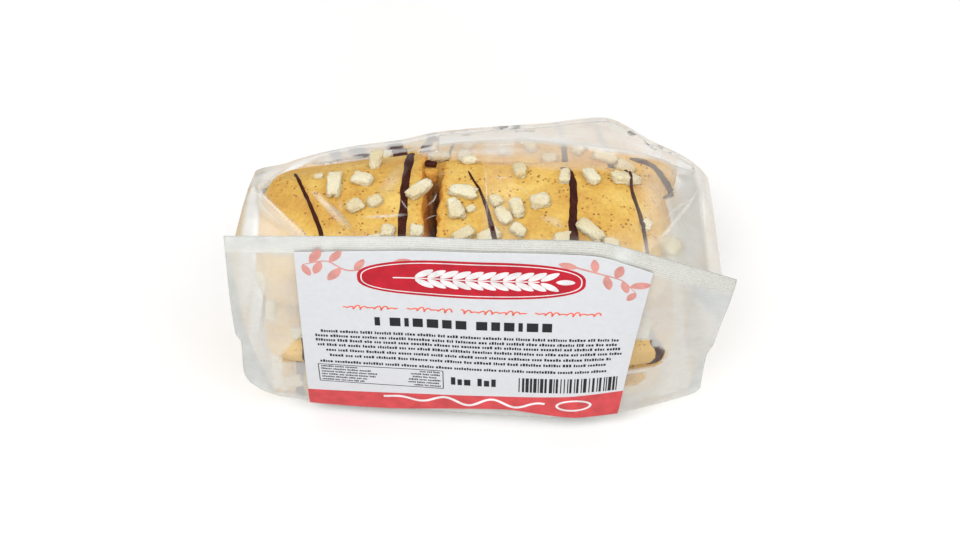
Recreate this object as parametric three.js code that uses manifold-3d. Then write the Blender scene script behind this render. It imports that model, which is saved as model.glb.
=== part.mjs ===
// A sealed clear-film pack of six oval biscuits with a paper label on its front.
//
// Two solids: "bag" is the closed film envelope, filled, and "label" is the paper sheet on
// its front panel. Millimetres, +Z up, +X to the reader's right as the label is read, and
// the label faces -Y. The origin is the middle of the footprint, on the ground.

import * as THREE from "three";
import { mergeVertices } from "three/addons/utils/BufferGeometryUtils.js";
import Module from "manifold-3d";

// The film envelope.
const PACK_WIDTH = 141.6; // across the two side panels
const PACK_DEPTH = 82; // from the front panel to the rear wall, along the ground
const PACK_HEIGHT = 77.4; // crest of the film over the front row of biscuits
const CORNER_RADIUS = 8; // of the envelope's soft edges
const SIDE_DISH = 1.4; // how far each side panel sinks between its edges
const REAR_BELLY = 1.5; // how far the rear wall bulges
const REAR_TURN = [18, 66]; // heights between which the rear wall leans in to its shoulder
const LEFT_END = [-59, -70]; // X over which the top turns into its left end
const RIGHT_END = [54, 70]; // and into its right end

// The front panel: the full lay-flat width of the bag, which ends in the crimped top seal.
const PANEL_TOP = 87;
const PANEL_FOOT = 4;
const PANEL_THICKNESS = 1;
const PANEL_BELLY = 1; // how far the panel bulges at mid-height
const LEAN_START = 34; // X of the bend from which the seal leans forward
const LEAN_SLOPE = 0.33;
const LEAN_SOFTNESS = 6;
const SEAL_DROOP = 2.8; // how far the seal's right end hangs down
const SEAL_END = 71.5;

// The end seal of the film, folded forward and lying on the back of the top.
const FIN_FROM = -13;
const FIN_TO = 63;
const FIN_DEPTHS = [0.73, 0.92]; // its free edge and its root, as shares of the depth
const FIN_THICKNESS = 1.1;
const FIN_LIFT = 1.2; // of the free edge
const FIN_BURIED = 3; // how far its solid reaches into the envelope

// The two folds of the side gussets, which run over the top from its ends to the seal.
const FOLD_DEPTH = 2.4;
const FOLD_WIDTH = 4.2;
const FOLD_REACH = 0.45; // share of the depth at which they meet the ends
const FOLD_ENDS = { left: -68, right: 68 };
const FOLD_RUNS = { left: 18, right: -22 }; // along X, from there to the seal

// The label.
const LABEL_TOP = { left: -52.6, right: 48.6 };
const LABEL_FOOT = { left: -53.8, right: 43.2 };
const LABEL_THICKNESS = 0.4;
const LABEL_GAP = 0.3;

// Curves of the envelope. A station is [where, value].
const TOP_PROFILE = smoothCurve([
  [0, 79.2],
  [0.14, 77.6],
  [0.3, PACK_HEIGHT],
  [0.46, 76],
  [0.62, 72.4],
  [0.82, 66],
  [1, 58.5],
]);
const LEFT_END_PROFILE = smoothCurve([
  [0, 80],
  [0.6, 75],
  [1, 72],
]);
const RIGHT_END_PROFILE = smoothCurve([
  [0, 67.5],
  [0.6, 66],
  [1, 62],
]);
// How far the rear shoulder lies below the profile's end, along X.
const SHOULDER_SAG = smoothCurve([
  [-66, -5],
  [-57, -2.5],
  [-42, 2.5],
  [-12, 3],
  [40, -1],
  [54, 4],
]);
// X of the front panel's two free edges, along Z.
const LEFT_EDGE = smoothCurve([
  [4, -60],
  [9, -67.5],
  [15, -71.4],
  [21, -72.8],
  [39, -72.3],
  [44, -73.4],
  [PANEL_TOP, -71.9],
]);
const RIGHT_EDGE = smoothCurve([
  [4, 66.5],
  [9, 69.8],
  [26, 69.2],
  [48, 69.8],
  [PANEL_TOP, SEAL_END],
]);
// Y of the seal before it leans, along X.
const SEAL_REACH = smoothCurve([
  [-72, -32.3],
  [-22, -32.4],
  [2, -33.5],
  [34, -33.7],
]);
// Y of the front panel's foot, along X: the biscuits push it out on the right.
const FRONT_FOOT = smoothCurve([
  [-70, -27],
  [-48, -31],
  [-16, -34],
  [26, -37],
  [44, -34.8],
  [58, -29],
  [70, -25],
]);
// Height of the label's top and foot, along X: the film it is stuck to is uneven.
const LABEL_HEAD_Z = smoothCurve([
  [-53, 81.3],
  [5, 82.6],
  [30, 82.2],
  [49, 80.4],
]);
const LABEL_FOOT_Z = smoothCurve([
  [-54, 5.2],
  [-34, 6],
  [-8, 9],
  [8, 10],
  [18, 8.6],
  [30, 6.2],
]);
// Y of the rear wall at its foot and at its shoulder, along X.
const REAR_FOOT = smoothCurve([
  [-70, 40],
  [-60, 48],
  [-40, 50.5],
  [40, 51],
  [60, 48],
  [70, 39],
]);
const REAR_TOP = smoothCurve([
  [-70, 11],
  [-57, 23.5],
  [-42, 33],
  [-14, 41],
  [38, 43.8],
  [54, 38],
  [64, 28.5],
  [70, 19],
]);

// A curve through a few stations that never overshoots them.
function smoothCurve(stations) {
  const last = stations.length - 1;
  const slopes = [];
  for (let i = 0; i < last; i += 1) {
    const run = stations[i + 1][0] - stations[i][0];
    slopes.push((stations[i + 1][1] - stations[i][1]) / run);
  }
  const tangents = stations.map((_, i) => {
    const before = slopes[Math.max(i - 1, 0)];
    const after = slopes[Math.min(i, last - 1)];
    return before * after <= 0 ? 0 : (2 * before * after) / (before + after);
  });
  return (where) => {
    const at = Math.min(Math.max(where, stations[0][0]), stations[last][0]);
    let i = 0;
    while (i < last - 1 && at > stations[i + 1][0]) i += 1;
    const run = stations[i + 1][0] - stations[i][0];
    const t = (at - stations[i][0]) / run;
    const ease = t * t * (3 - 2 * t);
    const lift = t * (1 - t) * ((1 - t) * tangents[i] - t * tangents[i + 1]) * run;
    return stations[i][1] * (1 - ease) + stations[i + 1][1] * ease + lift;
  };
}

function mix(from, to, share) {
  return from + (to - from) * share;
}

function smoothStep(from, to, value) {
  const t = Math.min(Math.max((value - from) / (to - from), 0), 1);
  return t * t * (3 - 2 * t);
}

// How a radius draws a wall in at a height above its foot.
function toe(radius, z) {
  const short = Math.max(radius - z, 0);
  return radius - Math.sqrt(radius ** 2 - short ** 2);
}

function bump(offset, spread) {
  return Math.exp(-((offset / spread) ** 2));
}

// How far the top edge of the front panel leans forward.
function sealLean(x) {
  const past = x - LEAN_START;
  return (LEAN_SLOPE * (past + Math.hypot(past, LEAN_SOFTNESS))) / 2;
}

// Y of the front panel at a place on it, before its toe turns in to the ground.
function frontY(x, z) {
  const share = Math.min(z / PANEL_TOP, 1);
  const lean = sealLean(x) * smoothStep(0.25, 1.05, share);
  const belly = PANEL_BELLY * Math.sin(Math.PI * share);
  return mix(FRONT_FOOT(x), SEAL_REACH(x), share) - belly - lean;
}

// Y of the front panel's outer face, with its toe.
function panelY(x, z) {
  return frontY(x, z) + toe(CORNER_RADIUS, z);
}

// Y of the rear wall, which is fullest at a third of its height.
function rearY(x, z) {
  const rise = smoothStep(...REAR_TURN, z);
  const belly = REAR_BELLY * Math.sin(Math.PI * Math.min(z / REAR_TURN[1], 1));
  return mix(REAR_FOOT(x), REAR_TOP(x), rise) + belly;
}

// How near a place on the top is to a gusset fold, from 0 to 1.
function foldAt(x, depth) {
  const forward = 1 - depth / FOLD_REACH;
  const left = FOLD_ENDS.left + FOLD_RUNS.left * forward;
  const right = FOLD_ENDS.right + FOLD_RUNS.right * forward;
  const fade = 1 - smoothStep(0.7 * FOLD_REACH, 1.1 * FOLD_REACH, depth);
  return fade * Math.max(bump(x - left, FOLD_WIDTH), bump(x - right, FOLD_WIDTH));
}

// Height of the top, with depth as a share from the front panel to the rear wall.
function roofZ(x, depth) {
  const sag = SHOULDER_SAG(x) * smoothStep(0.5, 1, depth);
  const middle = TOP_PROFILE(depth) - sag;
  const left = mix(middle, LEFT_END_PROFILE(depth), smoothStep(...LEFT_END, x));
  const level = mix(left, RIGHT_END_PROFILE(depth), smoothStep(...RIGHT_END, x));
  return level - FOLD_DEPTH * foldAt(x, depth);
}

// A box whose grid points are each put where "place" says, from coordinates of -1 to 1.
function warpedBox(segments, place) {
  const geometry = new THREE.BoxGeometry(2, 2, 2, ...segments);
  geometry.deleteAttribute("normal");
  geometry.deleteAttribute("uv");
  const merged = mergeVertices(geometry, 1e-5);
  const position = merged.getAttribute("position");
  for (let i = 0; i < position.count; i += 1) {
    const [x, y, z] = place(position.getX(i), position.getY(i), position.getZ(i));
    position.setXYZ(i, x, y, z);
  }
  return merged;
}

// The film over the biscuits: a soft-edged block that follows the curves above.
function envelope() {
  const half = [PACK_WIDTH / 2, PACK_DEPTH / 2, PACK_HEIGHT / 2];
  return warpedBox([28, 18, 15], (...corner) => {
    const crowded = corner.map((value, axis) => Math.sin((value * Math.PI) / 2) * half[axis]);
    const core = crowded.map((value, axis) => {
      const most = half[axis] - CORNER_RADIUS;
      return Math.min(Math.max(value, -most), most);
    });
    const out = crowded.map((value, axis) => value - core[axis]);
    const reach = CORNER_RADIUS / Math.hypot(...out);
    const [across, back, up] = core.map((value, axis) => (value + out[axis] * reach) / half[axis]);
    const depth = (back + 1) / 2;
    const height = (up + 1) / 2;
    const dish = SIDE_DISH * Math.sin(Math.PI * height) * Math.sin(Math.PI * depth);
    const x = across * (PACK_WIDTH / 2 - dish * across ** 2);
    const z = height * roofZ(x, depth);
    const y = mix(frontY(x, z) + PANEL_THICKNESS / 2, rearY(x, z), depth);
    return [x, y, z];
  });
}

// How far the seal hangs down at a place on the front panel.
function droop(x, z) {
  const along = Math.max(x - LEAN_START, 0) / (SEAL_END - LEAN_START);
  return SEAL_DROOP * along * smoothStep(45, PANEL_TOP, z);
}

function frontPanel() {
  return warpedBox([22, 1, 15], (across, back, up) => {
    const level = mix(PANEL_FOOT, PANEL_TOP, (up + 1) / 2);
    const x = mix(LEFT_EDGE(level), RIGHT_EDGE(level), (across + 1) / 2);
    const y = panelY(x, level) + ((back + 1) / 2) * PANEL_THICKNESS;
    return [x, y, level - droop(x, level)];
  });
}

function foldedFin() {
  return warpedBox([22, 5, 1], (across, back, up) => {
    const x = mix(FIN_FROM, FIN_TO, (across + 1) / 2);
    const share = (back + 1) / 2;
    const depth = mix(FIN_DEPTHS[0], FIN_DEPTHS[1], share);
    const roof = roofZ(x, depth);
    const raised = FIN_THICKNESS + FIN_LIFT * (1 - share) ** 2;
    const z = up > 0 ? roof + raised : roof - FIN_BURIED;
    return [x, mix(frontY(x, roof), rearY(x, roof), depth), z];
  });
}

function paperLabel() {
  return warpedBox([18, 1, 11], (across, back, up) => {
    const share = (up + 1) / 2;
    const left = mix(LABEL_FOOT.left, LABEL_TOP.left, share);
    const right = mix(LABEL_FOOT.right, LABEL_TOP.right, share);
    const x = mix(left, right, (across + 1) / 2);
    const level = mix(LABEL_FOOT_Z(x), LABEL_HEAD_Z(x), share);
    const front = back < 0 ? LABEL_GAP + LABEL_THICKNESS : LABEL_GAP;
    return [x, panelY(x, level) - front, level - droop(x, level)];
  });
}

const wasm = await Module();
wasm.setup();

function solidOf(geometry) {
  return new wasm.Manifold(
    new wasm.Mesh({
      numProp: 3,
      vertProperties: geometry.getAttribute("position").array,
      triVerts: new Uint32Array(geometry.index.array),
    }),
  );
}

function geometryOf(solid) {
  const mesh = solid.getMesh();
  const geometry = new THREE.BufferGeometry();
  geometry.setAttribute("position", new THREE.BufferAttribute(mesh.vertProperties, 3));
  geometry.setIndex(new THREE.BufferAttribute(mesh.triVerts, 1));
  geometry.computeVertexNormals();
  return geometry;
}

const film = new THREE.MeshStandardMaterial({
  color: 0xe6d3b4,
  roughness: 0.3,
  metalness: 0,
  transparent: true,
  opacity: 0.6,
});
const paper = new THREE.MeshStandardMaterial({ color: 0xf2f2f2, roughness: 0.55, metalness: 0 });

const bag = new THREE.Mesh(
  geometryOf(solidOf(envelope()).add(solidOf(frontPanel())).add(solidOf(foldedFin()))),
  film,
);
bag.name = "bag";

const label = new THREE.Mesh(paperLabel(), paper);
label.name = "label";

// The group is moved so that its origin is the middle of the footprint.
const group = new THREE.Group();
group.add(bag, label);
const box = new THREE.Box3().setFromObject(group);
const middle = box.getCenter(new THREE.Vector3());
for (const piece of [bag, label]) {
  piece.position.set(-middle.x, -middle.y, -box.min.z);
}

export default group;
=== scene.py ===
"""A sealed clear-film pack of six long oval biscuits, with a paper label on its front panel.

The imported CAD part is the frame. Its solid "bag" is replaced by film, biscuits, sugar and
chocolate, and its solid "label" by a finely divided sheet with its print. All drawing is
done in the part source's own millimetres (X to the right, Y away, Z up) and is moved into
the frame, in metres, when a mesh is made.
"""

import math

import bpy
import numpy as np
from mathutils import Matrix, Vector, noise
from mathutils.bvhtree import BVHTree


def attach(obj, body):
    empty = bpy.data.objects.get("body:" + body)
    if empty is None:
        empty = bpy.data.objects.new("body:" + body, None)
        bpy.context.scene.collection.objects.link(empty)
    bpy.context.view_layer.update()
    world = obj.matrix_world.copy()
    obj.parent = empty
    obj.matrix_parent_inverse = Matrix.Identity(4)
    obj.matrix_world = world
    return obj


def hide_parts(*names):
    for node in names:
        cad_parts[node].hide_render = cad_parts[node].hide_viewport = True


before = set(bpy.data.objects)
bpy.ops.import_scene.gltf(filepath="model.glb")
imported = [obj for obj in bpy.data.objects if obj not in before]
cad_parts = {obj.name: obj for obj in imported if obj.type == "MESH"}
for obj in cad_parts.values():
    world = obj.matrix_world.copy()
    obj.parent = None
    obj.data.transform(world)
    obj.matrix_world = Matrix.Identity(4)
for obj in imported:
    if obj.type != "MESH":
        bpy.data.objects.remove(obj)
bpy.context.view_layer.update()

# From the drawing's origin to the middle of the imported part's footprint, in millimetres.
FRAME_SHIFT = np.array([0.936, -3.0856, 0.0])

# ---------------------------------------------------------------- the pack's form
PACK_WIDTH = 141.6
PACK_DEPTH = 82.0
PACK_HEIGHT = 77.4
CORNER_RADIUS = 3.2  # round the top
LEFT_CORNER_RADIUS = 0.8  # round the top at the left end
FOOT_RADIUS = 8.0
LEFT_TUCK = 2.2  # how far the rear of the top's left edge lies in from the front
SIDE_DISH = 1.4  # how far the end walls are drawn in
REAR_BELLY = 1.5
REAR_TURN = (18.0, 66.0)  # heights over which the rear wall turns in
LEFT_END = (-59.0, -70.0)  # X over which the top takes on its end's height
RIGHT_END = (54.0, 70.0)
SAG_FROM = 0.5  # depth from which the shoulder sags

PANEL_TOP = 87.0
PANEL_FOOT = 4.0
PANEL_BELLY = 1.0
PANEL_TOE = 8.0
PANEL_LAYERS = (0.3, 0.75)  # depths of the panel's front and back film behind its CAD face
ENVELOPE_INSET = 0.5  # of the envelope's front face, between those two
LEAN_START = 34.0
LEAN_SLOPE = 0.33
LEAN_SOFTNESS = 6.0
LEAN_HEIGHTS = (0.25, 1.05)  # as shares of the panel, over which it sets in
SEAL_DROOP = 2.8
DROOP_FROM = 45.0
SEAL_END = 71.1

FIN_FROM = -13.0
FIN_TO = 66.0
FIN_REAR = 0.92  # depth of its rear edge
FIN_THICKNESS = 0.8
FIN_LIFT = 1.2
FIN_BURIED = 1.5
DEPTH_STEPS = 24

FOLD_DEPTH = 2.4
FOLD_WIDTH = 4.2
FOLD_FADE = (0.45, 0.72)  # depths over which the gusset folds run out

LABEL_TOP = (-52.6, 48.6)
LABEL_FOOT = (-53.8, 43.2)
LABEL_THICKNESS = 0.4
LABEL_GAP = 0.3


def smooth_curve(*stations):
    """A curve through a few stations (where, value) that never overshoots them."""
    x = np.array([station[0] for station in stations], float)
    y = np.array([station[1] for station in stations], float)
    slopes = np.diff(y) / np.diff(x)
    before = np.concatenate([slopes[:1], slopes])
    after = np.concatenate([slopes, slopes[-1:]])
    total = np.where(before * after > 0, before + after, 1.0)
    tangents = np.where(before * after > 0, 2 * before * after / total, 0.0)

    def value(where):
        at = np.clip(where, x[0], x[-1])
        i = np.clip(np.searchsorted(x, at) - 1, 0, len(slopes) - 1)
        run = x[i + 1] - x[i]
        t = (at - x[i]) / run
        ease = t * t * (3 - 2 * t)
        lift = t * (1 - t) * ((1 - t) * tangents[i] - t * tangents[i + 1]) * run
        return y[i] * (1 - ease) + y[i + 1] * ease + lift

    return value


TOP_PROFILE = smooth_curve(
    (0, 79.2), (0.14, 77.6), (0.3, PACK_HEIGHT), (0.46, 76.8), (0.58, 75.0), (0.7, 71.2), (0.82, 66),
    (1, 58.5),
)
LEFT_END_PROFILE = smooth_curve((0, 80), (0.6, 75), (1, 67.6))
RIGHT_END_PROFILE = smooth_curve((0, 67.5), (0.6, 65.6), (1, 60.6))
SHOULDER_SAG = smooth_curve(
    (-66, -4.6), (-57, -1.7), (-42, 3.7), (-25, 4.5), (-12, 3.7), (0, 2.9), (20, 1.5), (40, -0.7), (54, 5)
)
LEFT_EDGE = smooth_curve(
    (4, -61), (9, -69.0), (14, -72.3), (19, -73.3), (36.5, -72.4), (41, -73.6), (50, -73.5),
    (PANEL_TOP, -71.9),
)
RIGHT_EDGE = smooth_curve((4, 66.5), (9, 69.5), (28, 69.2), (38, 70.6), (58, 70.6), (PANEL_TOP, SEAL_END))
SEAL_REACH = smooth_curve((-72, -32.3), (-22, -32.4), (2, -33.5), (34, -33.7))
FRONT_FOOT = smooth_curve(
    (-70, -27), (-60, -28.4), (-48, -30), (-22, -32.8), (0, -34.8), (26, -36.4), (44, -34.2), (56, -31),
    (70, -26),
)
LABEL_HEAD_Z = smooth_curve((-53, 81.3), (5, 82.6), (30, 82.2), (49, 80.4))
LABEL_FOOT_Z = smooth_curve((-54, 4.3), (-34, 5.4), (-8, 8.8), (8, 10), (18, 8.6), (30, 6.2))
FIN_FRONT = smooth_curve(  # Y of the fin's free edge
    (-13, 20.5), (0, 22.5), (11.5, 22.5), (23, 17.8), (31, 14.8), (40, 11.8), (48, 11), (57, 12.6),
    (66, 15.6),
)
FOLD_LEFT = smooth_curve((0, -42), (0.17, -49.8), (0.37, -58.4), (0.73, -68))  # X by depth
FOLD_RIGHT = smooth_curve((0, 40), (0.17, 49.4), (0.27, 54.6), (0.49, 61.4), (0.8, 67.8))
REAR_FOOT = smooth_curve((-70, 40), (-60, 48), (-40, 50.5), (40, 51), (60, 48), (70, 39))
REAR_TOP = smooth_curve(
    (-70, 10.6), (-57, 22.5), (-42, 31.4), (-25, 35.9), (-14, 39.4), (0, 41), (20, 42), (38, 43.2),
    (48, 40.2), (54, 36.6), (60, 30.4), (64, 25.8), (70, 17.0),
)


def mix(start, end, share):
    return start + (end - start) * share


def smooth_step(start, end, value):
    t = np.clip((value - start) / (end - start), 0, 1)
    return t * t * (3 - 2 * t)


def bump(offset, spread):
    return np.exp(-((offset / spread) ** 2))


def toe(radius, z):
    """How a radius draws a wall in at a height above its foot."""
    short = np.clip(radius - z, 0, radius)
    return radius - np.sqrt(radius**2 - short**2)


def seal_lean(x):
    past = x - LEAN_START
    return LEAN_SLOPE * (past + np.hypot(past, LEAN_SOFTNESS)) / 2


def front_y(x, z):
    """Y of the front panel, before its toe turns in to the ground."""
    share = np.minimum(z / PANEL_TOP, 1)
    lean = seal_lean(x) * smooth_step(*LEAN_HEIGHTS, share)
    belly = PANEL_BELLY * np.sin(np.pi * share)
    return mix(FRONT_FOOT(x), SEAL_REACH(x), share) - belly - lean


def panel_y(x, z):
    return front_y(x, z) + toe(PANEL_TOE, z)


def rear_y(x, z):
    rise = smooth_step(*REAR_TURN, z)
    belly = REAR_BELLY * np.sin(np.pi * np.minimum(z / REAR_TURN[1], 1))
    return mix(REAR_FOOT(x), REAR_TOP(x), rise) + belly


def fold_at(x, depth):
    """How near a place on the top is to a gusset fold, from 0 to 1."""
    left = bump(x - FOLD_LEFT(depth), FOLD_WIDTH)
    right = bump(x - FOLD_RIGHT(depth), FOLD_WIDTH)
    return (1 - smooth_step(*FOLD_FADE, depth)) * np.maximum(left, right)


def roof_z(x, depth):
    """Height of the top, with depth as a share from the front panel to the rear wall."""
    sag = SHOULDER_SAG(x) * smooth_step(SAG_FROM, 1, depth)
    middle = TOP_PROFILE(depth) - sag
    left = mix(middle, LEFT_END_PROFILE(depth), smooth_step(*LEFT_END, x))
    level = mix(left, RIGHT_END_PROFILE(depth), smooth_step(*RIGHT_END, x))
    return level - FOLD_DEPTH * fold_at(x, depth)


def depth_at(x, y):
    """The depth of a place on the top, from 0 at the front panel to 1 at the rear wall."""
    depth = np.full(np.shape(x), 0.5)
    for _ in range(DEPTH_STEPS):
        z = roof_z(x, depth)
        near = front_y(x, z) + ENVELOPE_INSET
        depth = mix(depth, np.clip((y - near) / (rear_y(x, z) - near), 0, 1), 0.5)
    return depth


def droop(x, z):
    along = np.maximum(x - LEAN_START, 0) / (SEAL_END - LEAN_START)
    return SEAL_DROOP * along * smooth_step(DROOP_FROM, PANEL_TOP, z)


def panel_point(x, level, behind):
    """A place on the front panel, a distance behind its CAD face."""
    return np.stack([x, panel_y(x, level) + behind, level - droop(x, level)], axis=-1)


# ---------------------------------------------------------------- meshes
def box_grid(across, back, up):
    """Points of a box's divided surface, from -1 to 1, and its quads, facing outwards."""
    index = np.full((across + 1, back + 1, up + 1), -1)
    shell = np.ones(index.shape, bool)
    shell[1:-1, 1:-1, 1:-1] = False
    index[shell] = np.arange(shell.sum())
    corners = np.argwhere(shell) / [across, back, up] * 2 - 1
    quads = []
    for axis in range(3):
        for end in (0, -1):
            layer = index.take(end, axis=axis)
            quad = [layer[:-1, :-1], layer[1:, :-1], layer[1:, 1:], layer[:-1, 1:]]
            if (end == 0) != (axis == 1):
                quad.reverse()
            quads.append(np.stack(quad, axis=-1).reshape(-1, 4))
    return corners, np.concatenate(quads)


def ring_faces(rings, around, first=0):
    """Quads between rings of points, each ring closed on itself."""
    start = first + np.arange(rings - 1)[:, None] * around
    here = np.arange(around)[None, :]
    there = (here + 1) % around
    quads = [start + here, start + there, start + around + there, start + around + here]
    return np.stack(quads, axis=-1).reshape(-1, 4)


def noise_at(points, scale, seed, octaves=2):
    """Soft noise from about -1 to 1 at each point, with features of a size in millimetres."""
    offset = Vector((seed * 17.3, seed * 7.9, seed * 3.1))
    values = [
        noise.fractal(Vector(point) / scale + offset, 0.9, 2.1, octaves) for point in points
    ]
    return np.array(values)


def lumps_at(points, layers, seed):
    """Layers of noise added up; a layer is (height, size, seed's step, octaves)."""
    total = 0
    for height, size, step, octaves in layers:
        total = total + height * noise_at(points, size, seed + step, octaves)
    return total


def to_frame(points):
    return (np.asarray(points, float) + FRAME_SHIFT) / 1000


def new_piece(name, points, faces, material, smooth=True):
    """A mesh piece from points in the drawing's millimetres."""
    mesh = bpy.data.meshes.new(name)
    faces = [face if isinstance(face, list) else face.tolist() for face in faces]
    mesh.from_pydata(to_frame(points).tolist(), [], faces)
    mesh.validate()
    if smooth:
        mesh.shade_smooth()
    mesh.materials.append(material)
    piece = bpy.data.objects.new(name, mesh)
    bpy.context.scene.collection.objects.link(piece)
    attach(piece, "root")
    return piece


def points_of(piece):
    """A piece's points, in the drawing's millimetres, as its mesh holds them."""
    return np.array([vertex.co for vertex in piece.data.vertices]) * 1000 - FRAME_SHIFT


def set_attribute(piece, name, values):
    attribute = piece.data.attributes.new(name, "FLOAT", "POINT")
    attribute.data.foreach_set("value", np.asarray(values, np.float32))


def tree_of(points, faces):
    return BVHTree.FromPolygons(points.tolist(), faces)


class Heap:
    """Points and faces of many closed shapes that go into one mesh."""

    def __init__(self):
        self.points = []
        self.faces = []
        self.count = 0

    def add(self, points, faces):
        self.points.append(np.asarray(points, float))
        self.faces.extend([[corner + self.count for corner in face] for face in faces])
        self.count += len(points)

    def add_tube(self, rings):
        """Adds a closed tube through rings of points."""
        rings = np.array(rings)
        count, around = rings.shape[:2]
        faces = ring_faces(count, around).tolist()
        faces.append(list(range(around))[::-1])
        faces.append([(count - 1) * around + i for i in range(around)])
        self.add(rings.reshape(-1, 3), faces)

    def take(self, other):
        self.add(other.all_points(), other.faces)

    def all_points(self):
        return np.concatenate(self.points)

    def tree(self):
        return tree_of(self.all_points(), self.faces)

    def make(self, name, material, slot, smooth=True):
        return new_piece(name, self.all_points(), self.faces, material, smooth)


# ---------------------------------------------------------------- biscuits
BISCUIT_ROUND = 3.0  # of a section's crown; 2 is an ellipse
BISCUIT_SQUARE = 4.0  # of its foot
BISCUIT_WAIST = 0.4  # height of its widest place, as a share
END_HEIGHT = 0.55  # of a biscuit's tip, as a share of its middle
TIP_LIFT = 0.14  # of the foot at a tip, as a share of the height
TIP_HALF_WIDTH = 0.6
AROUND = 96
CAP_RINGS = 9
# The paler side is partly a less baked crust and partly painted light for sides that lie in shade inside
# the pack.
SIDE_FROM = (0.3, 0.6)  # shares of its height down over which a biscuit turns to its paler side
CRUMB_EDGE = 1.6  # how far crumb shows past a broken edge
BREAK_REACH = 3.0  # how far from it a biscuit is out of shape
# Layers of noise: their height, size in millimetres, seed's step and octaves.
CRUST_LUMPS = ((0.75, 22.0, 0, 2), (0.36, 5.0, 20, 3))
FRACTURE_LUMPS = ((1.1, 6.0, 0, 2), (0.7, 1.9, 5, 2))
FOOT_FLATNESS = 0.8  # how much less of the crust's lumps is on a foot
UNBROKEN = (None, None)

# Each whole biscuit or broken half: X of its tips (where a half's missing tip would be), its
# middle Y, width, the height of its foot at the left and right ends, its height, how blunt its
# tips are, how it turns in plan (degrees) and the noise's seed. "square" is how blunt its left
# and right ends are in front, and "waist" the height of its widest place, as a share. "broken"
# is X of the end that is broken off. The face there runs "slant" millimetres along X for each
# one of Y, and "lean" millimetres from the crown to the foot.
BISCUITS = {
    "biscuit_front_low": dict(
        tips=(-63.0, 58.0), y=-7.6, width=42.0, foot=(1.6, 1.2), height=18.0, blunt=2.9, turn=0.4, seed=1,
        square=(8.0, 6.0),
    ),
    "biscuit_front_middle": dict(
        tips=(-66.6, 60.2), y=-7.8, width=43.4, foot=(19.2, 18.8), height=24.4, blunt=2.8, turn=-0.6,
        seed=2, square=(8.0, 8.0),
    ),
    "biscuit_front_top_left": dict(
        tips=(-66.4, 57.0), y=-3.6, width=50.9, foot=(44.6, 44.8), height=31.4, blunt=3.1, turn=0.0, seed=3,
        square=(9.0, None), waist=0.5,
        broken=(None, -17.0), slant=0.0, lean=3.0,
    ),
    "biscuit_front_top_right": dict(
        tips=(-65.0, 57.4), y=-7.6, width=45.5, foot=(44.6, 44.4), height=31.6, blunt=3.2, turn=0.8, seed=4,
        square=(None, 5.0), waist=0.5,
        broken=(-11.5, None), slant=0.1, lean=-1.6,
    ),
    "biscuit_rear_low": dict(
        tips=(-58.0, 61.5), y=33.5, width=35.0, foot=(2.0, 1.8), height=20.6, blunt=2.8, turn=0.5, seed=5
    ),
    "biscuit_rear_middle": dict(
        tips=(-60.0, 61.0), y=33.5, width=35.0, foot=(20.8, 22.4), height=20.6, blunt=2.7, turn=0.8, seed=6
    ),
    "biscuit_rear_top": dict(
        tips=(-60.5, 62.5), y=31.2, width=34.0, foot=(36.0, 42.6), height=19.8, blunt=3.6, turn=0.0, seed=7
    ),
}


def fracture_shift(y, z, seed):
    """How far a broken face stands out of its plane, in millimetres along X."""
    return lumps_at(np.stack([0 * y, y, z], axis=-1), FRACTURE_LUMPS, seed)


def below_top(spec, z):
    """How far down a biscuit a height is, from 0 at its crown to 1 at its foot."""
    return np.clip((spec["foot"][0] + spec["height"] - z) / spec["height"], 0, 1)


def plan_half_width(along, width, power):
    """Half a biscuit's width, by how far along it a section lies, from -1 to 1."""
    inside = np.clip(1 - abs(along) ** power, 0, 1)
    return max(width / 2 * inside ** (1 / power), TIP_HALF_WIDTH)


def biscuit_section(x, spec, angles):
    """Y and Z of a closed section of a biscuit at X, before it is turned."""
    left, right = spec["tips"]
    along = (x - (left + right) / 2) / ((right - left) / 2)
    rear_width = plan_half_width(along, spec["width"], spec["blunt"])
    square = spec.get("square", (None, None))[int(along > 0)]
    front_width = plan_half_width(along, spec["width"], square) if square else rear_width
    crown = mix(END_HEIGHT, 1, math.sqrt(max(1 - abs(along) ** 6, 0)))
    foot = mix(*spec["foot"], (along + 1) / 2)
    lifted = TIP_LIFT * spec["height"] * abs(along) ** 9
    waist_share = spec.get("waist", BISCUIT_WAIST)
    waist = spec["height"] * mix(waist_share * 0.8, waist_share, crown)
    c, s = np.cos(angles), np.sin(angles)
    round_power = 2 / BISCUIT_ROUND
    square_power = 2 / BISCUIT_SQUARE
    upper = s >= 0
    power = np.where(upper, round_power, square_power)
    y = np.where(c < 0, front_width, rear_width) * np.sign(c) * np.abs(c) ** power
    above = waist + (spec["height"] * crown - waist) * np.abs(s) ** round_power
    below = waist - (waist - lifted) * np.abs(s) ** square_power
    return y, foot + np.where(upper, above, below)


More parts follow.
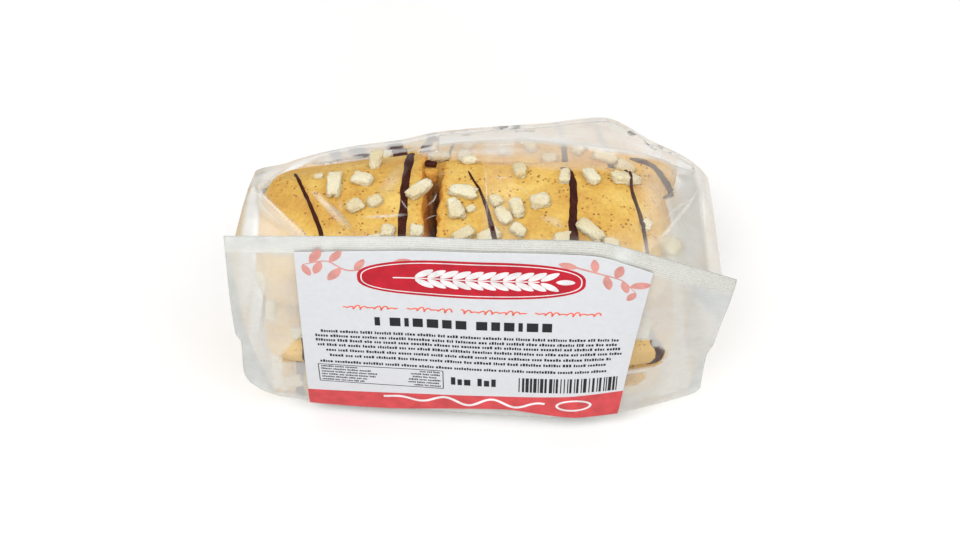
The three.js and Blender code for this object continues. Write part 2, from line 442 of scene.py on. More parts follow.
def biscuit_rings(spec, sections):
    """Sections of a biscuit from its left to its right end, with the lumps of its crust."""
    left, right = spec["tips"]
    middle, half_length = (left + right) / 2, (right - left) / 2
    ends = [-1.0, 1.0]
    for side, broken_at in enumerate(spec.get("broken", UNBROKEN)):
        if broken_at is not None:
            ends[side] = (broken_at - middle) / half_length
    turns = np.linspace(math.asin(ends[0]), math.asin(ends[1]), sections)
    angles = np.linspace(0, 2 * np.pi, AROUND, endpoint=False)
    rings = []
    for x in middle + half_length * np.sin(turns) * 0.9995:
        y, z = biscuit_section(x, spec, angles)
        rings.append(np.stack([np.full(AROUND, x), y, z], axis=-1))
    rings = np.array(rings)

    # Each point moves out from its section's middle, though hardly on the foot.
    outward = rings - rings.mean(axis=1, keepdims=True)
    outward[..., 0] = 0
    outward /= np.maximum(np.linalg.norm(outward, axis=-1, keepdims=True), 1e-6)
    lumps = lumps_at(rings.reshape(-1, 3), CRUST_LUMPS, spec["seed"]).reshape(sections, AROUND)
    on_foot = np.clip(-np.sin(angles) * 2, 0, 1)
    return rings + outward * (lumps * (1 - FOOT_FLATNESS * on_foot))[..., None]


def cap_rings(ring):
    """Shrinking copies of a ring that close an end, from the ring inwards."""
    centre = ring.mean(axis=0)
    return [centre + (ring - centre) * share for share in np.linspace(1, 0, CAP_RINGS + 2)[1:-1]]


def break_ends(layers, spec):
    """Makes broken ends ragged in place. Returns how much each point shows crumb."""
    crumb = np.zeros(layers.shape[:2])
    for broken_at, cap in zip(spec.get("broken", UNBROKEN), (slice(0, CAP_RINGS), slice(-CAP_RINGS, None))):
        if broken_at is None:
            continue
        from_plane = np.abs(layers[..., 0] - broken_at)
        y, z = layers[..., 1].ravel(), layers[..., 2].ravel()
        slope = spec["slant"] * y + spec["lean"] * below_top(spec, z)
        shift = (fracture_shift(y, z, spec["seed"]) + slope).reshape(crumb.shape)
        ragged = 0.9 * noise_at(layers.reshape(-1, 3), 2.2, spec["seed"] + 8).reshape(crumb.shape)
        crumb = np.maximum(crumb, smooth_step(CRUMB_EDGE, 0.2, from_plane - ragged))
        crumb[cap] = 1
        layers[..., 0] += np.exp(-from_plane / BREAK_REACH) * shift
    return crumb


def turned(points, spec):
    """A biscuit's points in their place, turned a little in plan about its middle."""
    middle = sum(spec["tips"]) / 2
    turn = math.radians(spec["turn"])
    along, aside = points[:, 0] - middle, points[:, 1]
    placed = points.copy()
    placed[:, 0] = middle + along * math.cos(turn) - aside * math.sin(turn)
    placed[:, 1] = spec["y"] + along * math.sin(turn) + aside * math.cos(turn)
    return placed


def biscuit_shape(spec, sections):
    """Points, faces and crumb (1 on a broken face) of a biscuit or of a broken half."""
    rings = biscuit_rings(spec, sections)
    layers = np.array([*cap_rings(rings[0])[::-1], *rings, *cap_rings(rings[-1])])
    crumb = break_ends(layers, spec)
    broken = spec.get("broken", UNBROKEN)
    tips = [rings[0].mean(axis=0), rings[-1].mean(axis=0)]
    for tip, broken_at in zip(tips, broken):
        if broken_at is not None:
            tip[0] += fracture_shift(tip[1:2], tip[2:3], spec["seed"])[0]
    points = np.concatenate([layers.reshape(-1, 3), tips])
    crumb = np.concatenate([crumb.ravel(), [float(end is not None) for end in broken]])
    faces = ring_faces(len(layers), AROUND).tolist()
    last = (len(layers) - 1) * AROUND
    first_tip, last_tip = len(points) - 2, len(points) - 1
    for i in range(AROUND):
        following = (i + 1) % AROUND
        faces.append([following, i, first_tip])
        faces.append([last + i, last + following, last_tip])
    return turned(points, spec), faces, crumb


BISCUIT_CLEARANCE = 0.7  # between the film and the crust
PANEL_CLEARANCE = 0.5  # more of it behind the front panel
TOPPING_CLEARANCE = 0.25  # between the film and a nib or a stripe
TOPPING_BULGE = 2.0  # how far the front half of the top may bulge over them
BULGE_END = (0.74, 0.62)  # depths between which that sets in
REAR_TOE = 7.0  # radius at the rear wall's foot
REAR_ROUNDING = (3.0, 0.9)  # how far the top's rear edge is rounded down, and the depth from which


def keep_in_film(points, clearance, bulge=0.0):
    """Moves what would stand through the film back inside it."""
    inside = points.copy()
    x, z = points[:, 0], points[:, 2]
    nearest = panel_y(x, z) + ENVELOPE_INSET + PANEL_CLEARANCE + clearance
    farthest = rear_y(x, z) - toe(REAR_TOE, z) - clearance
    inside[:, 1] = np.clip(points[:, 1], nearest, farthest)
    depth = (inside[:, 1] - nearest) / np.maximum(farthest - nearest, 1)
    ceiling = roof_z(x, np.clip(depth, 0, 1)) - clearance
    ceiling += bulge * smooth_step(*BULGE_END, depth)
    ceiling -= REAR_ROUNDING[0] * smooth_step(REAR_ROUNDING[1], 1.0, depth)
    inside[:, 2] = np.minimum(z, ceiling)
    return inside


# ---------------------------------------------------------------- sugar and chocolate
# Sugar nibs of the front row's top: X, Y, length, width, height and heading in degrees.
TOP_NIBS = (
    (-43.1, -2.2, 9.6, 4.2, 3.0, 88),
    (-34.9, -0.6, 6.2, 4.0, 3.0, -20),
    (-36.7, -10.8, 4.9, 3.9, 2.6, 35),
    (-30.8, -9.2, 4.8, 3.3, 2.6, 20),
    (-48.1, 2.4, 2.8, 2.2, 1.2, 10),
    (-18.0, -4.8, 8.8, 3.8, 3.0, 46),
    (-26.6, -19.6, 4.2, 3.9, 3.0, 80),
    (-30.6, -21.4, 4.4, 2.6, 2.2, 15),
    (-18.4, -19.8, 3.9, 3.7, 2.8, 0),
    (-5.0, -5.7, 8.4, 3.7, 3.0, -14),
    (-7.1, -12.2, 7.4, 4.6, 3.0, 103),
    (-3.2, 9.8, 4.4, 3.8, 2.4, 20),
    (-2.6, -11.8, 2.8, 2.3, 1.2, 30),
    (-4.8, -21.0, 6.6, 3.7, 2.8, 32),
    (11.9, 3.6, 5.0, 3.9, 3.0, 95),
    (25.2, 1.0, 5.4, 3.2, 2.6, 82),
    (33.0, 1.2, 6.6, 3.6, 2.8, -62),
    (43.3, 1.4, 8.8, 3.8, 3.0, 12),
    (4.5, -9.0, 4.2, 3.3, 2.4, -50),
    (10.8, -12.0, 6.4, 4.0, 2.8, -72),
    (17.5, -9.6, 5.6, 4.6, 3.0, 15),
    (6.8, -14.6, 6.6, 3.6, 2.4, -62),
    (11.0, -19.6, 4.6, 3.6, 2.6, -40),
    (2.6, -21.2, 6.8, 3.8, 2.6, 20),
    (32.0, -19.6, 8.2, 3.8, 2.6, -40),
    (37.8, -22.4, 4.6, 3.2, 2.4, -15),
    (24.6, -21.4, 6.4, 3.6, 1.8, 12),
    (48.3, -15.2, 3.9, 2.7, 2.0, 70),
)
# One that leans on the others' rear edge, and its tilt in degrees.
LEANING_NIB = (-31.4, 9.8, 8.8, 3.5, 3.2, 86)
LEANING_TILT = 27.0
# Nibs on the front of biscuits: X, Z, length, width, height and heading in degrees.
FRONT_NIBS = {
    "biscuit_front_top_left": ((-63.8, 60.5, 7.4, 3.6, 2.4, 92),),
    "biscuit_front_middle": (
        (-63.6, 37.5, 8.4, 3.8, 2.8, 80), (-55.0, 37.0, 4.2, 3.6, 2.2, 30),
        (49.3, 37.6, 6.4, 4.4, 3.2, 80),
    ),
    "biscuit_front_low": ((-58.5, 12.0, 6.4, 3.6, 2.6, 20), (48.6, 18.4, 5.4, 4.4, 3.0, 10)),
}
# The nib that sticks to the right end of the front row: middle, size and heading.
END_NIB = ((55.9, -20.5, 69.0), (5.4, 6.6, 4.6), 30)
# Chocolate stripes of the front row's top: X at the rear, in the middle and in front, then
# the width at those three places.
TOP_STRIPES = (
    ((-21.2, -22.4, -22.4), (2.6, 2.7, 2.6)),
    ((43.5, 45.9, 49.2), (0.9, 1.2, 1.3)),
)
# Stripes that start or turn on the way: X by the angle round the biscuit (0 in front and 180
# at the rear, in degrees), then the width at the rear, in the middle and in front.
TURNING_TOP_STRIPES = (
    (((-14, -43.8), (20, -44.8), (47, -46.2), (98, -51.6), (127, -54.2), (150, -56.0)), (1.0, 1.3, 1.5)),
    (((-14, 6.0), (40, 4.4), (80, 1.6), (104, -0.4), (130, -3.6)), (0.7, 1.5, 1.8)),
    (((-14, 26.9), (60, 27.2), (90, 27.5), (116, 27.6), (128, 26.6), (135, 24.0)), (2.2, 2.7, 2.7)),
)
TURNING_STRIPES = {
    "biscuit_rear_top": (
        ((-14, 61.0), (21, 59.2), (39, 56.8), (50, 54.4), (56, 51.4), (60, 46.6)), (1.7, 2.2, 2.0),
    ),
    "biscuit_front_middle": (
        ((-24, 51.4), (-20, 53.0), (-10, 55.0), (-2, 55.4), (8, 54.4), (15, 52.8), (30, 50.5), (64, 46.0)),
        (1.6, 2.4, 3.2),
    ),
}
# Nibs and stripes that show on other biscuits, in the same way.
OTHER_NIBS = {
    "biscuit_rear_top": (
        (-12.5, 26.0, 6.2, 3.8, 2.0, 5), (-5.0, 26.0, 4.2, 3.6, 2.2, 70), (21.6, 23.6, 4.8, 3.4, 2.4, 10),
        (38.8, 23.4, 7.4, 3.2, 2.2, -18), (31.0, 27.0, 5.0, 3.6, 2.4, 50), (-30.0, 27.0, 5.0, 3.6, 2.2, 15),
        (-48.0, 25.0, 5.0, 3.4, 2.2, 60), (55.0, 29.5, 5.6, 3.4, 2.4, 35), (7.0, 27.5, 4.2, 3.2, 2.2, 120),
    ),
    "biscuit_front_middle": ((56.6, -4.6, 7.6, 5.0, 4.0, 80), (-61.6, -10.0, 6.0, 3.6, 3.0, 95)),
}
OTHER_STRIPES = {
    "biscuit_rear_top": (
        ((-47.0, -45.6, -44.0), (4.0, 4.2, 4.0)),
        ((-40.0, -37.6, -36.0), (5.0, 5.6, 5.0)),
        ((-27.6, -26.4, -25.2), (5.6, 6.2, 5.6)),
        ((-15.0, -17.0, -19.4), (3.4, 3.6, 3.2)),
        ((-4.0, -8.6, -12.0), (0.8, 0.9, 0.9)),
        ((25.0, 26.0, 27.0), (1.6, 1.8, 1.6)),
        ((34.0, 38.0, 43.0), (2.0, 2.2, 2.0)),
    ),
    "biscuit_front_middle": (
        ((-50.0, -52.4, -53.2), (2.4, 2.6, 2.6)),
        ((-10.0, -8.0, -5.0), (1.2, 1.4, 1.2)),
        ((20.0, 22.0, 25.0), (2.4, 2.6, 2.4)),
    ),
    "biscuit_front_low": (
        ((-52.0, -56.0, -56.6), (2.4, 2.8, 3.0)),
        ((-12.0, -11.0, -9.0), (2.4, 2.6, 2.4)),
        ((30.0, 32.0, 35.0), (1.2, 1.4, 1.2)),
    ),
}
HIDDEN_STRIPES = 5  # on each biscuit that has none of those
HIDDEN_NIBS = 16
BARE_FROM = 47.0  # distance along X past which there are none on the front of a striped biscuit
# A crumb and a chip of chocolate caught in the gap: middle, size and heading.
GAP_CRUMB = ((-14.6, 6.6, 71.0), (4.2, 3.6, 5.0), 10)
GAP_CHIP = ((-14.8, 8.2, 74.2), (3.6, 1.9, 1.5), -8)
# The blob that a stripe ends in at the foot of the rear biscuit's right end, in the same way.
END_CHIP = ((59.0, 20.9, 46.2), (4.6, 1.6, 1.4), 12)
GAP_CRUMB_SHARE = 0.6  # how much of its surface is crumb
NIB_GRID = 11
NIB_POWER = 3.8  # of its roundness; 2 is a ball
NIB_LUMPS = ((0.17, 1.2, 0, 2), (0.15, 0.4, 9, 2), (0.09, 0.16, 15, 2))  # on a ball of radius 1
NIB_TAPERS = ((1, 0.16, 2.7), (2, 0.12, 4.1))  # axis, how much it tapers, and how the seed sets that
ABOVE_ALL = 95.0  # a height over the whole pack
OUTSIDE = 60.0  # a distance from a biscuit's middle to outside the pack
STEEP = 0.35  # a nib lies only where the surface's direction rises more than this


def nib_shape(size, seed):
    """A rounded, uneven block, centred on the origin."""
    corners, faces = box_grid(NIB_GRID, NIB_GRID - 2, NIB_GRID - 2)
    reach = (np.abs(corners) ** NIB_POWER).sum(axis=1, keepdims=True) ** (1 / NIB_POWER)
    points = corners / reach
    points *= 1 + lumps_at(points, NIB_LUMPS, seed)[:, None]
    # It narrows and thins towards one end.
    for axis, share, turn in NIB_TAPERS:
        points[:, axis] *= 1 + share * math.sin(seed * turn) * points[:, 0]
    return points * np.array(size) / 2, faces.tolist()


def frame_on(normal, heading):
    """Axes of something that lies on a surface: along, across and up. The heading is seen
    from above, or from in front on a steep surface."""
    up = np.array(normal, float)
    up /= np.linalg.norm(up)
    angle = math.radians(heading)
    c, s = math.cos(angle), math.sin(angle)
    along = np.array([c, 0, s]) if abs(up[2]) < 0.5 else np.array([c, s, 0])
    along -= up * (along @ up)
    along /= np.linalg.norm(along)
    return along, np.cross(up, along), up


def look_down(tree, x, y, above=ABOVE_ALL):
    """What lies under a height: the place straight below it, and its surface's direction."""
    hit, normal, _, _ = tree.ray_cast(Vector((x, y, above)), Vector((0, 0, -1)))
    return hit, normal


def lay_nib(heap, hit, normal, size, heading, seed, tilt=0.0, raised=0.36):
    """Beds a nib in a surface; with a tilt, in degrees, its far end stands up."""
    points, faces = nib_shape(size, seed)
    along, across, up = frame_on(normal, heading)
    c, s = math.cos(math.radians(tilt)), math.sin(math.radians(tilt))
    axes = np.array([along * c + up * s, across, up * c - along * s])
    heap.add(np.array(hit) + up * size[2] * raised + points @ axes, faces)


def drop_nib(heap, tree, x, y, size, heading, seed, above=ABOVE_ALL, tilt=0.0):
    """Lays a nib on what is under it, unless that is steep."""
    hit, normal = look_down(tree, x, y, above)
    if hit is not None and normal.z > STEEP:
        lay_nib(heap, hit, normal, size, heading, seed, tilt)


def push_nib(heap, tree, x, z, size, heading, seed):
    """Lays a nib on the front of a biscuit."""
    hit, normal, _, _ = tree.ray_cast(Vector((x, -OUTSIDE, z)), Vector((0, 1, 0)))
    if hit is not None:
        lay_nib(heap, hit, normal, size, heading, seed, raised=0.1)


STRIPE_SECTION = ((-0.5, -0.25), (0.5, -0.25), (0.44, 0.35), (0.22, 0.85), (-0.22, 0.85), (-0.44, 0.35))
STRIPE_SPAN = (-14.0, 194.0)  # degrees round the biscuit, from its front foot to its rear one
STRIPE_STEPS = 110
FRONT_TO_REAR = (0, 0.5, 1)  # in front, in the middle and at the rear
STRIPE_RISE = 0.6
STRIPE_UNEVEN = 0.3  # how much its width varies
STRIPE_TAPER = (0.35, 0.2)  # share of the width at an end, and what each step adds to it
STRIPE_FLATNESS = (0.45, 3.2)  # share of the rise that the narrowest has, and the width that adds 1
STRIPE_WOBBLE = (0.45, 0.2)  # of a straight and of a turning stripe, along X


def stripe_path(tree, core, xs, widths, turning, seed):
    """Places on a biscuit under a stripe, with the surface's direction and the stripe's width
    there. The arguments are those of lay_stripe."""
    start, end = (turning[0][0], turning[-1][0]) if turning else STRIPE_SPAN
    path, outs, sizes = [], [], []
    for i in range(STRIPE_STEPS + 1):
        share = i / STRIPE_STEPS
        angle = math.radians(mix(start, end, share))
        across = (1 - math.cos(math.pi * share)) / 2
        if turning:
            x = np.interp(math.degrees(angle), *zip(*turning))
        else:
            x = np.interp(across, FRONT_TO_REAR, xs[::-1])
        x += STRIPE_WOBBLE[bool(turning)] * noise.noise(Vector((seed * 5.1, share * 5.0, 0)))
        direction = Vector((0, -math.cos(angle), math.sin(angle)))
        hit, normal, _, _ = tree.ray_cast(Vector((x, *core)) + direction * OUTSIDE, -direction)
        if hit is None:
            continue
        width = np.interp(across, FRONT_TO_REAR, widths[::-1])
        path.append(np.array(hit))
        outs.append(np.array(normal))
        sizes.append(width * (1 + STRIPE_UNEVEN * noise.noise(Vector((seed * 3.3, share * 14.0, 4)))))
    return np.array(path), np.array(outs), sizes


def smoothed_path(path, core):
    """A stripe's path with its corners rounded, and no nearer the biscuit's middle than it was."""
    middle = np.array([0.0, *core])
    reach = np.linalg.norm((path - middle)[:, 1:], axis=1)
    for _ in range(2):
        path[1:-1] = path[1:-1] * 0.5 + (path[:-2] + path[2:]) * 0.25
    sunk = reach / np.linalg.norm((path - middle)[:, 1:], axis=1)
    path[:, 1:] = middle[1:] + (path - middle)[:, 1:] * np.maximum(sunk, 1)[:, None]
    return path


def lay_stripe(heap, tree, core, xs, widths, turning=(), rise=STRIPE_RISE, seed=1):
    """Lays a chocolate stripe across a biscuit, from its front foot over the crown to the rear.

    core is the Y and Z of the biscuit's middle. The three xs and widths are at the rear, in
    the middle and in front. A turning stripe has (angle, X) stations instead of xs."""
    path, outs, sizes = stripe_path(tree, core, xs, widths, turning, seed)
    path = smoothed_path(path, core)
    rings = []
    for i, point in enumerate(path):
        ahead = path[min(i + 1, len(path) - 1)] - path[max(i - 1, 0)]
        ahead /= np.linalg.norm(ahead)
        up = outs[max(i - 2, 0): i + 3].mean(axis=0)
        up -= ahead * (up @ ahead)
        up /= np.linalg.norm(up)
        side = np.cross(ahead, up)
        taper = min(1.0, STRIPE_TAPER[0] + min(i, len(path) - 1 - i) * STRIPE_TAPER[1])
        width = sizes[i] * taper
        height = rise * min(1.0, STRIPE_FLATNESS[0] + width / STRIPE_FLATNESS[1]) * taper
        rings.append([point + side * width * a + up * height * b for a, b in STRIPE_SECTION])
    heap.add_tube(rings)


# ---------------------------------------------------------------- materials
class Material:
    """A node material in the making. Its methods add nodes and return what these put out."""

    def __init__(self, name):
        self.material = bpy.data.materials.new(name)
        self.material.use_nodes = True
        self.tree = self.material.node_tree
        self.tree.nodes.clear()
        self.place = self.add("TexCoord", out="Object")

    def add(self, kind, inputs=None, out=0, **settings):
        """Adds a node, with values or other nodes' outputs at its inputs."""
        node = self.tree.nodes.new("ShaderNode" + kind)
        for key, value in settings.items():
            setattr(node, key, value)
        for socket, value in (inputs or {}).items():
            if isinstance(value, bpy.types.NodeSocket):
                self.tree.links.new(value, node.inputs[socket])
            else:
                node.inputs[socket].default_value = value
        return node.outputs[out] if node.outputs else None

    def noise(self, scale, detail, **inputs):
        inputs = {"Vector": self.place, "Scale": scale, "Detail": detail, **inputs}
        return self.add("TexNoise", inputs, "Fac")

    def attribute(self, name):
        return self.add("Attribute", out="Fac", attribute_name=name)

    def math(self, operation, first, second=0.5, **settings):
        return self.add("Math", {0: first, 1: second}, operation=operation, **settings)

    def spread(self, value, span=(0.0, 1.0), low=0.0, high=1.0):
        """Stretches a span of values over another one."""
        inputs = {"Value": value, "From Min": span[0], "From Max": span[1], "To Min": low, "To Max": high}
        return self.add("MapRange", inputs)

    def ramp(self, factor, *stops):
        """A ramp between colours; a stop is (place, (r, g, b))."""
        colour = self.add("ValToRGB", {"Fac": factor}, "Color")
        elements = colour.node.color_ramp.elements
        while len(elements) < len(stops):
            elements.new(0.5)
        for element, (place, stop_colour) in zip(elements, stops):
            element.position = place
            element.color = (*stop_colour, 1)
        return colour

    def blend(self, factor, first, second):
        """A mix of two colours, of which the second is often a plain one."""
        inputs = {0: factor, 6: first, 7: second}
        return self.add("Mix", inputs, 2, data_type="RGBA")

    def bump(self, height, strength, distance, under=None):
        """Relief, on top of another one if that is given."""
        inputs = {"Height": height, "Strength": strength, "Distance": distance}
        if under:
            inputs["Normal"] = under
        return self.add("Bump", inputs)

    def surface(self, colour, roughness, relief=None, **inputs):
        """Ends the material with a Principled shader."""
        inputs = {"Base Color": colour, "Roughness": roughness, **inputs}
        if relief:
            inputs["Normal"] = relief
        return self.finish(self.add("BsdfPrincipled", inputs))

    def finish(self, shader):
        self.add("OutputMaterial", {"Surface": shader})
        return self.material


def biscuit_material():
    """Baked crust: golden, mottled, with small dark pits; crumb where it is broken."""
    made = Material("biscuit")
    patches = made.noise(75.0, 5.0, Roughness=0.68)
    grain = made.noise(900.0, 5.0, Roughness=0.65)
    patchy = made.noise(210.0, 2.0)
    cells = made.add("TexVoronoi", {"Vector": made.place, "Scale": 760.0, "Randomness": 1.0}, "Distance")
    baked = made.ramp(patches, (0.34, (0.62, 0.315, 0.046)), (0.5, (0.735, 0.445, 0.078)),
                      (0.66, (0.86, 0.605, 0.160)))
    grainy = made.ramp(grain, (0.35, (0.42, 0.18, 0.03)), (0.62, (0.86, 0.58, 0.15)))
    crust_colour = made.blend(0.22, baked, grainy)
    # Pits: near a cell's middle, and only in some cells.
    in_cell = made.spread(cells, (0.14, 0.34), 1.0, 0.0)
    pits = made.math("MULTIPLY", in_cell, made.spread(patchy, (0.48, 0.56)))
    crust_colour = made.blend(pits, crust_colour, (0.33, 0.095, 0.014, 1))
    # Paler sides: partly a less baked crust, partly painted light that stands in for the light the shaded
    # sides inside the pack lack.
    pale = made.math("MULTIPLY", made.attribute("side"), 0.75)
    crust_colour = made.blend(pale, crust_colour, (0.97, 0.68, 0.28, 1))
    # Crumb of a broken face: its own orange, made brighter and redder as painted light for the light that
    # bounces round the gap.
    crumb_colour = made.ramp(grain, (0.35, (0.66, 0.27, 0.018)), (0.7, (0.90, 0.55, 0.11)))
    colour = made.blend(made.attribute("crumb"), crust_colour, crumb_colour)
    # Relief: grain, less the pits.
    coarse = made.bump(patchy, 0.5, 0.0009)
    relief = made.bump(made.math("SUBTRACT", grain, pits), 0.55, 0.0005, coarse)
    return made.surface(colour, 0.72, relief)


def sugar_material():
    """Pressed sugar: cream white, grainy, slightly see-through."""
    made = Material("sugar")
    colour = made.ramp(made.noise(120.0, 2.0), (0.35, (0.74, 0.63, 0.39)), (0.6, (0.81, 0.745, 0.54)))
    relief = made.bump(made.noise(1400.0, 3.0), 0.9, 0.0007)
    depth = {
        "Subsurface Weight": 0.25, "Subsurface Radius": (0.004, 0.003, 0.002), "Subsurface Scale": 0.4,
    }
    return made.surface(colour, 0.6, relief, **depth)


def chocolate_material():
    """Set chocolate: nearly black brown, a soft gloss, dusty in places."""
    made = Material("chocolate")
    bloom = made.noise(260.0, 4.0)
    colour = made.ramp(bloom, (0.4, (0.040, 0.0052, 0.0024)), (0.75, (0.072, 0.014, 0.0066)))
    relief = made.bump(bloom, 0.3, 0.0003)
    roughness = made.spread(bloom, low=0.4, high=0.7)
    return made.surface(colour, roughness, relief, **{"Specular IOR Level": 0.06})


def film_material():
    """Milky clear film. Of its attributes, "haze" is how much of it is milk, "empty" is 1
    where nothing lies behind it, "seal" is up to 1 where it is crimped (both grey the milk as
    painted shade, and "seal" is lower under a painted highlight), "level" is how far up the
    front panel a place is, in millimetres, and "matt" is 1 where it doesn't shine."""
    made = Material("film")
    haze, seal = made.attribute("haze"), made.attribute("seal")

    # The crimped band: fine ribs along it, broken up into dots.
    rib = made.math("SINE", made.math("MULTIPLY", made.attribute("level"), 2 * math.pi / SEAL_RIB))
    dots = made.spread(made.noise(1700.0, 1.0), (0.35, 0.65), -1.0)
    crimp = made.math("MULTIPLY", made.math("ADD", rib, dots), seal)

    change = made.spread(made.noise(90.0, 4.0, Roughness=0.6), (0.3, 0.7), 0.88, 1.12)
    clouded = made.math("MULTIPLY", haze, change)
    share = made.math("ADD", clouded, made.math("MULTIPLY", crimp, 0.09), use_clamp=True)
    wavy = made.bump(made.noise(130.0, 3.0, Distortion=1.2), 0.35, 0.0006)
    relief = made.bump(crimp, 0.5, 0.0001, wavy)

    # Painted shade: the milk is greyer where the film is empty, and greyer still on the crimped band.
    tone = made.blend(made.attribute("empty"), (0.90, 0.91, 0.885, 1), (0.645, 0.66, 0.64, 1))
    tone = made.blend(seal, tone, (0.665, 0.665, 0.62, 1))
    milk = made.add("BsdfDiffuse", {"Color": tone, "Normal": relief})
    glow = made.add("BsdfTranslucent", {"Color": tone})
    milky = made.add("MixShader", {0: 0.26, 1: milk, 2: glow})
    clear = made.add("BsdfTransparent", {"Color": (0.99, 0.99, 0.985, 1)})
    film_body = made.add("MixShader", {0: share, 1: clear, 2: milky})

    # Film that lies on the food is wetted by it, and shines less.
    gloss = made.add("BsdfGlossy", {"Roughness": 0.14, "Normal": relief, "Color": (1, 1, 1, 1)})
    edge = made.add("Fresnel", {"IOR": 1.42, "Normal": relief})
    shine = made.math("MULTIPLY", edge, made.spread(haze, (0.02, 0.5), 0.05, 1.0))
    shine = made.math("MULTIPLY", shine, made.spread(made.attribute("matt"), low=1.0, high=0.1))
    lit = made.add("MixShader", {0: shine, 1: film_body, 2: gloss})

    # The lamps' light passes through to the food.
    passing = made.add("BsdfTransparent", {"Color": (0.95, 0.95, 0.94, 1)})
    in_shadow = made.add("LightPath", out="Is Shadow Ray")
    return made.finish(made.add("MixShader", {0: in_shadow, 1: lit, 2: passing}))


def paper_material():
    """Smooth coated label paper."""
    made = Material("label_paper")
    fibre = made.noise(500.0, 4.0)
    colour = made.ramp(fibre, (0.3, (0.60, 0.61, 0.63)), (0.7, (0.63, 0.64, 0.66)))
    cockle = made.bump(made.noise(28.0, 2.0), 0.2, 0.002)
    return made.surface(colour, 0.5, made.bump(fibre, 0.1, 0.0001, cockle))


def ink_material(name, colour):
    """Printing ink on the label, slightly uneven."""
    made = Material(name)
    darker = tuple(c * (1 - INK_UNEVEN) for c in colour)
    lighter = tuple(min(c * (1 + INK_UNEVEN), 1) for c in colour)
    tone = made.ramp(made.noise(240.0, 3.0), (0.35, darker), (0.65, lighter))
    return made.surface(tone, 0.6, **{"Specular IOR Level": 0.2})


def floor_material():
    made = Material("floor")
    colour = made.ramp(made.noise(4.0, 2.0), (0.3, (0.90, 0.90, 0.90)), (0.7, (0.93, 0.93, 0.93)))
    return made.finish(made.add("BsdfDiffuse", {"Color": colour}))


# ---------------------------------------------------------------- the contents
FRONT_TOP_CORE = (-7.0, 61.0)  # Y and Z of the middle of the front row's top biscuit
SECTIONS = (150, 110)  # of a whole biscuit and of a half
NIB_LENGTHS = (3.8, 7.5)
NIB_WIDTHS = (3.2, 4.2)
NIB_HEIGHTS = (1.6, 2.4)


def make_biscuits():
    """Makes the biscuits. Returns points and faces by name."""
    crust = biscuit_material()
    made = {}
    for name, spec in BISCUITS.items():
        points, faces, crumb = biscuit_shape(spec, SECTIONS["broken" in spec])
        points = keep_in_film(points, BISCUIT_CLEARANCE)
        piece = new_piece(name, points, faces, crust)
        set_attribute(piece, "crumb", crumb)
        set_attribute(piece, "side", smooth_step(*SIDE_FROM, below_top(spec, points[:, 2])))
        made[name] = (points, faces)
    return made, crust


def hidden_nibs(heap, tree, name, spec, above, rng):
    """Nibs at random on the top of a biscuit, bar the front of a striped one past its label."""
    left, right = spec["tips"]
    for number in range(HIDDEN_NIBS):
        x = rng.uniform(left + 3, right - 3)
        y = spec["y"] + rng.uniform(-0.46, 0.46) * spec["width"]
        size = (rng.uniform(*NIB_LENGTHS), rng.uniform(*NIB_WIDTHS), rng.uniform(*NIB_HEIGHTS))
        if name in OTHER_STRIPES and y < spec["y"] and abs(x) > BARE_FROM:
            continue
        drop_nib(heap, tree, x, y, size, rng.uniform(0, 180), 100 + number, above)


def hidden_stripes(heap, tree, core, spec, rng):
    """Stripes at random on a biscuit of which none show."""
    left, right = spec["tips"]
    for number in range(HIDDEN_STRIPES):
        x = mix(left + 8, right - 8, (number + 0.5) / HIDDEN_STRIPES) + rng.uniform(-4, 4)
        lean = rng.uniform(-3, 3)
        width = (1.3, 2.6)[number % 2]
        xs = (x + lean, x, x - lean)
        lay_stripe(heap, tree, core, xs, (width, width, width), seed=50 + number, rise=0.45)


def top_of_front_row(nibs, leaning, stripes, front_top, trees):
    """The nibs and stripes that show best. Stripes lie over the nibs as well as the crust."""
    tree = front_top.tree()
    for number, (x, y, *size, heading) in enumerate(TOP_NIBS):
        drop_nib(nibs, tree, x, y, size, heading, number + 1)
    x, y, *size, heading = LEANING_NIB
    drop_nib(leaning, tree, x, y, size, heading, 3, tilt=LEANING_TILT)
    for name, places in FRONT_NIBS.items():
        for number, (x, z, *size, heading) in enumerate(places):
            push_nib(nibs, trees[name], x, z, size, heading, 80 + number)
    coated = Heap()
    coated.take(front_top)
    coated.take(nibs)
    coated_tree = coated.tree()
    for number, (xs, widths) in enumerate(TOP_STRIPES):
        lay_stripe(stripes, coated_tree, FRONT_TOP_CORE, xs, widths, seed=number + 1)
    for turning, widths in TURNING_TOP_STRIPES:
        lay_stripe(stripes, coated_tree, FRONT_TOP_CORE, (), widths, turning, seed=3)


def other_toppings(nibs, stripes, trees):
    """The nibs and stripes of the whole biscuits."""
    rng = np.random.default_rng(11)
    for name, spec in BISCUITS.items():
        if "broken" in spec:
            continue
        tree = trees[name]
        foot = sum(spec["foot"]) / 2
        above = foot + spec["height"] + 9
        for number, (x, y, *size, heading) in enumerate(OTHER_NIBS.get(name, ())):
            drop_nib(nibs, tree, x, y, size, heading, 60 + number, above)
        hidden_nibs(nibs, tree, name, spec, above, rng)
        core = (spec["y"], foot + 0.4 * spec["height"])
        for number, (xs, widths) in enumerate(OTHER_STRIPES.get(name, ())):
            lay_stripe(stripes, tree, core, xs, widths, seed=30 + number, rise=0.5)
        if name in TURNING_STRIPES:
            turning, widths = TURNING_STRIPES[name]
            lay_stripe(stripes, tree, core, (), widths, turning, seed=40, rise=0.5)
        if name not in OTHER_STRIPES:
            hidden_stripes(stripes, tree, core, spec, rng)


def lay_chip(heap, chip, seed):
    """A loose block: its middle, size and heading."""
    centre, size, heading = chip
    points, faces = nib_shape(size, seed)
    heap.add(np.array(centre) + points @ np.array(frame_on((0, 0, 1), heading)), faces)


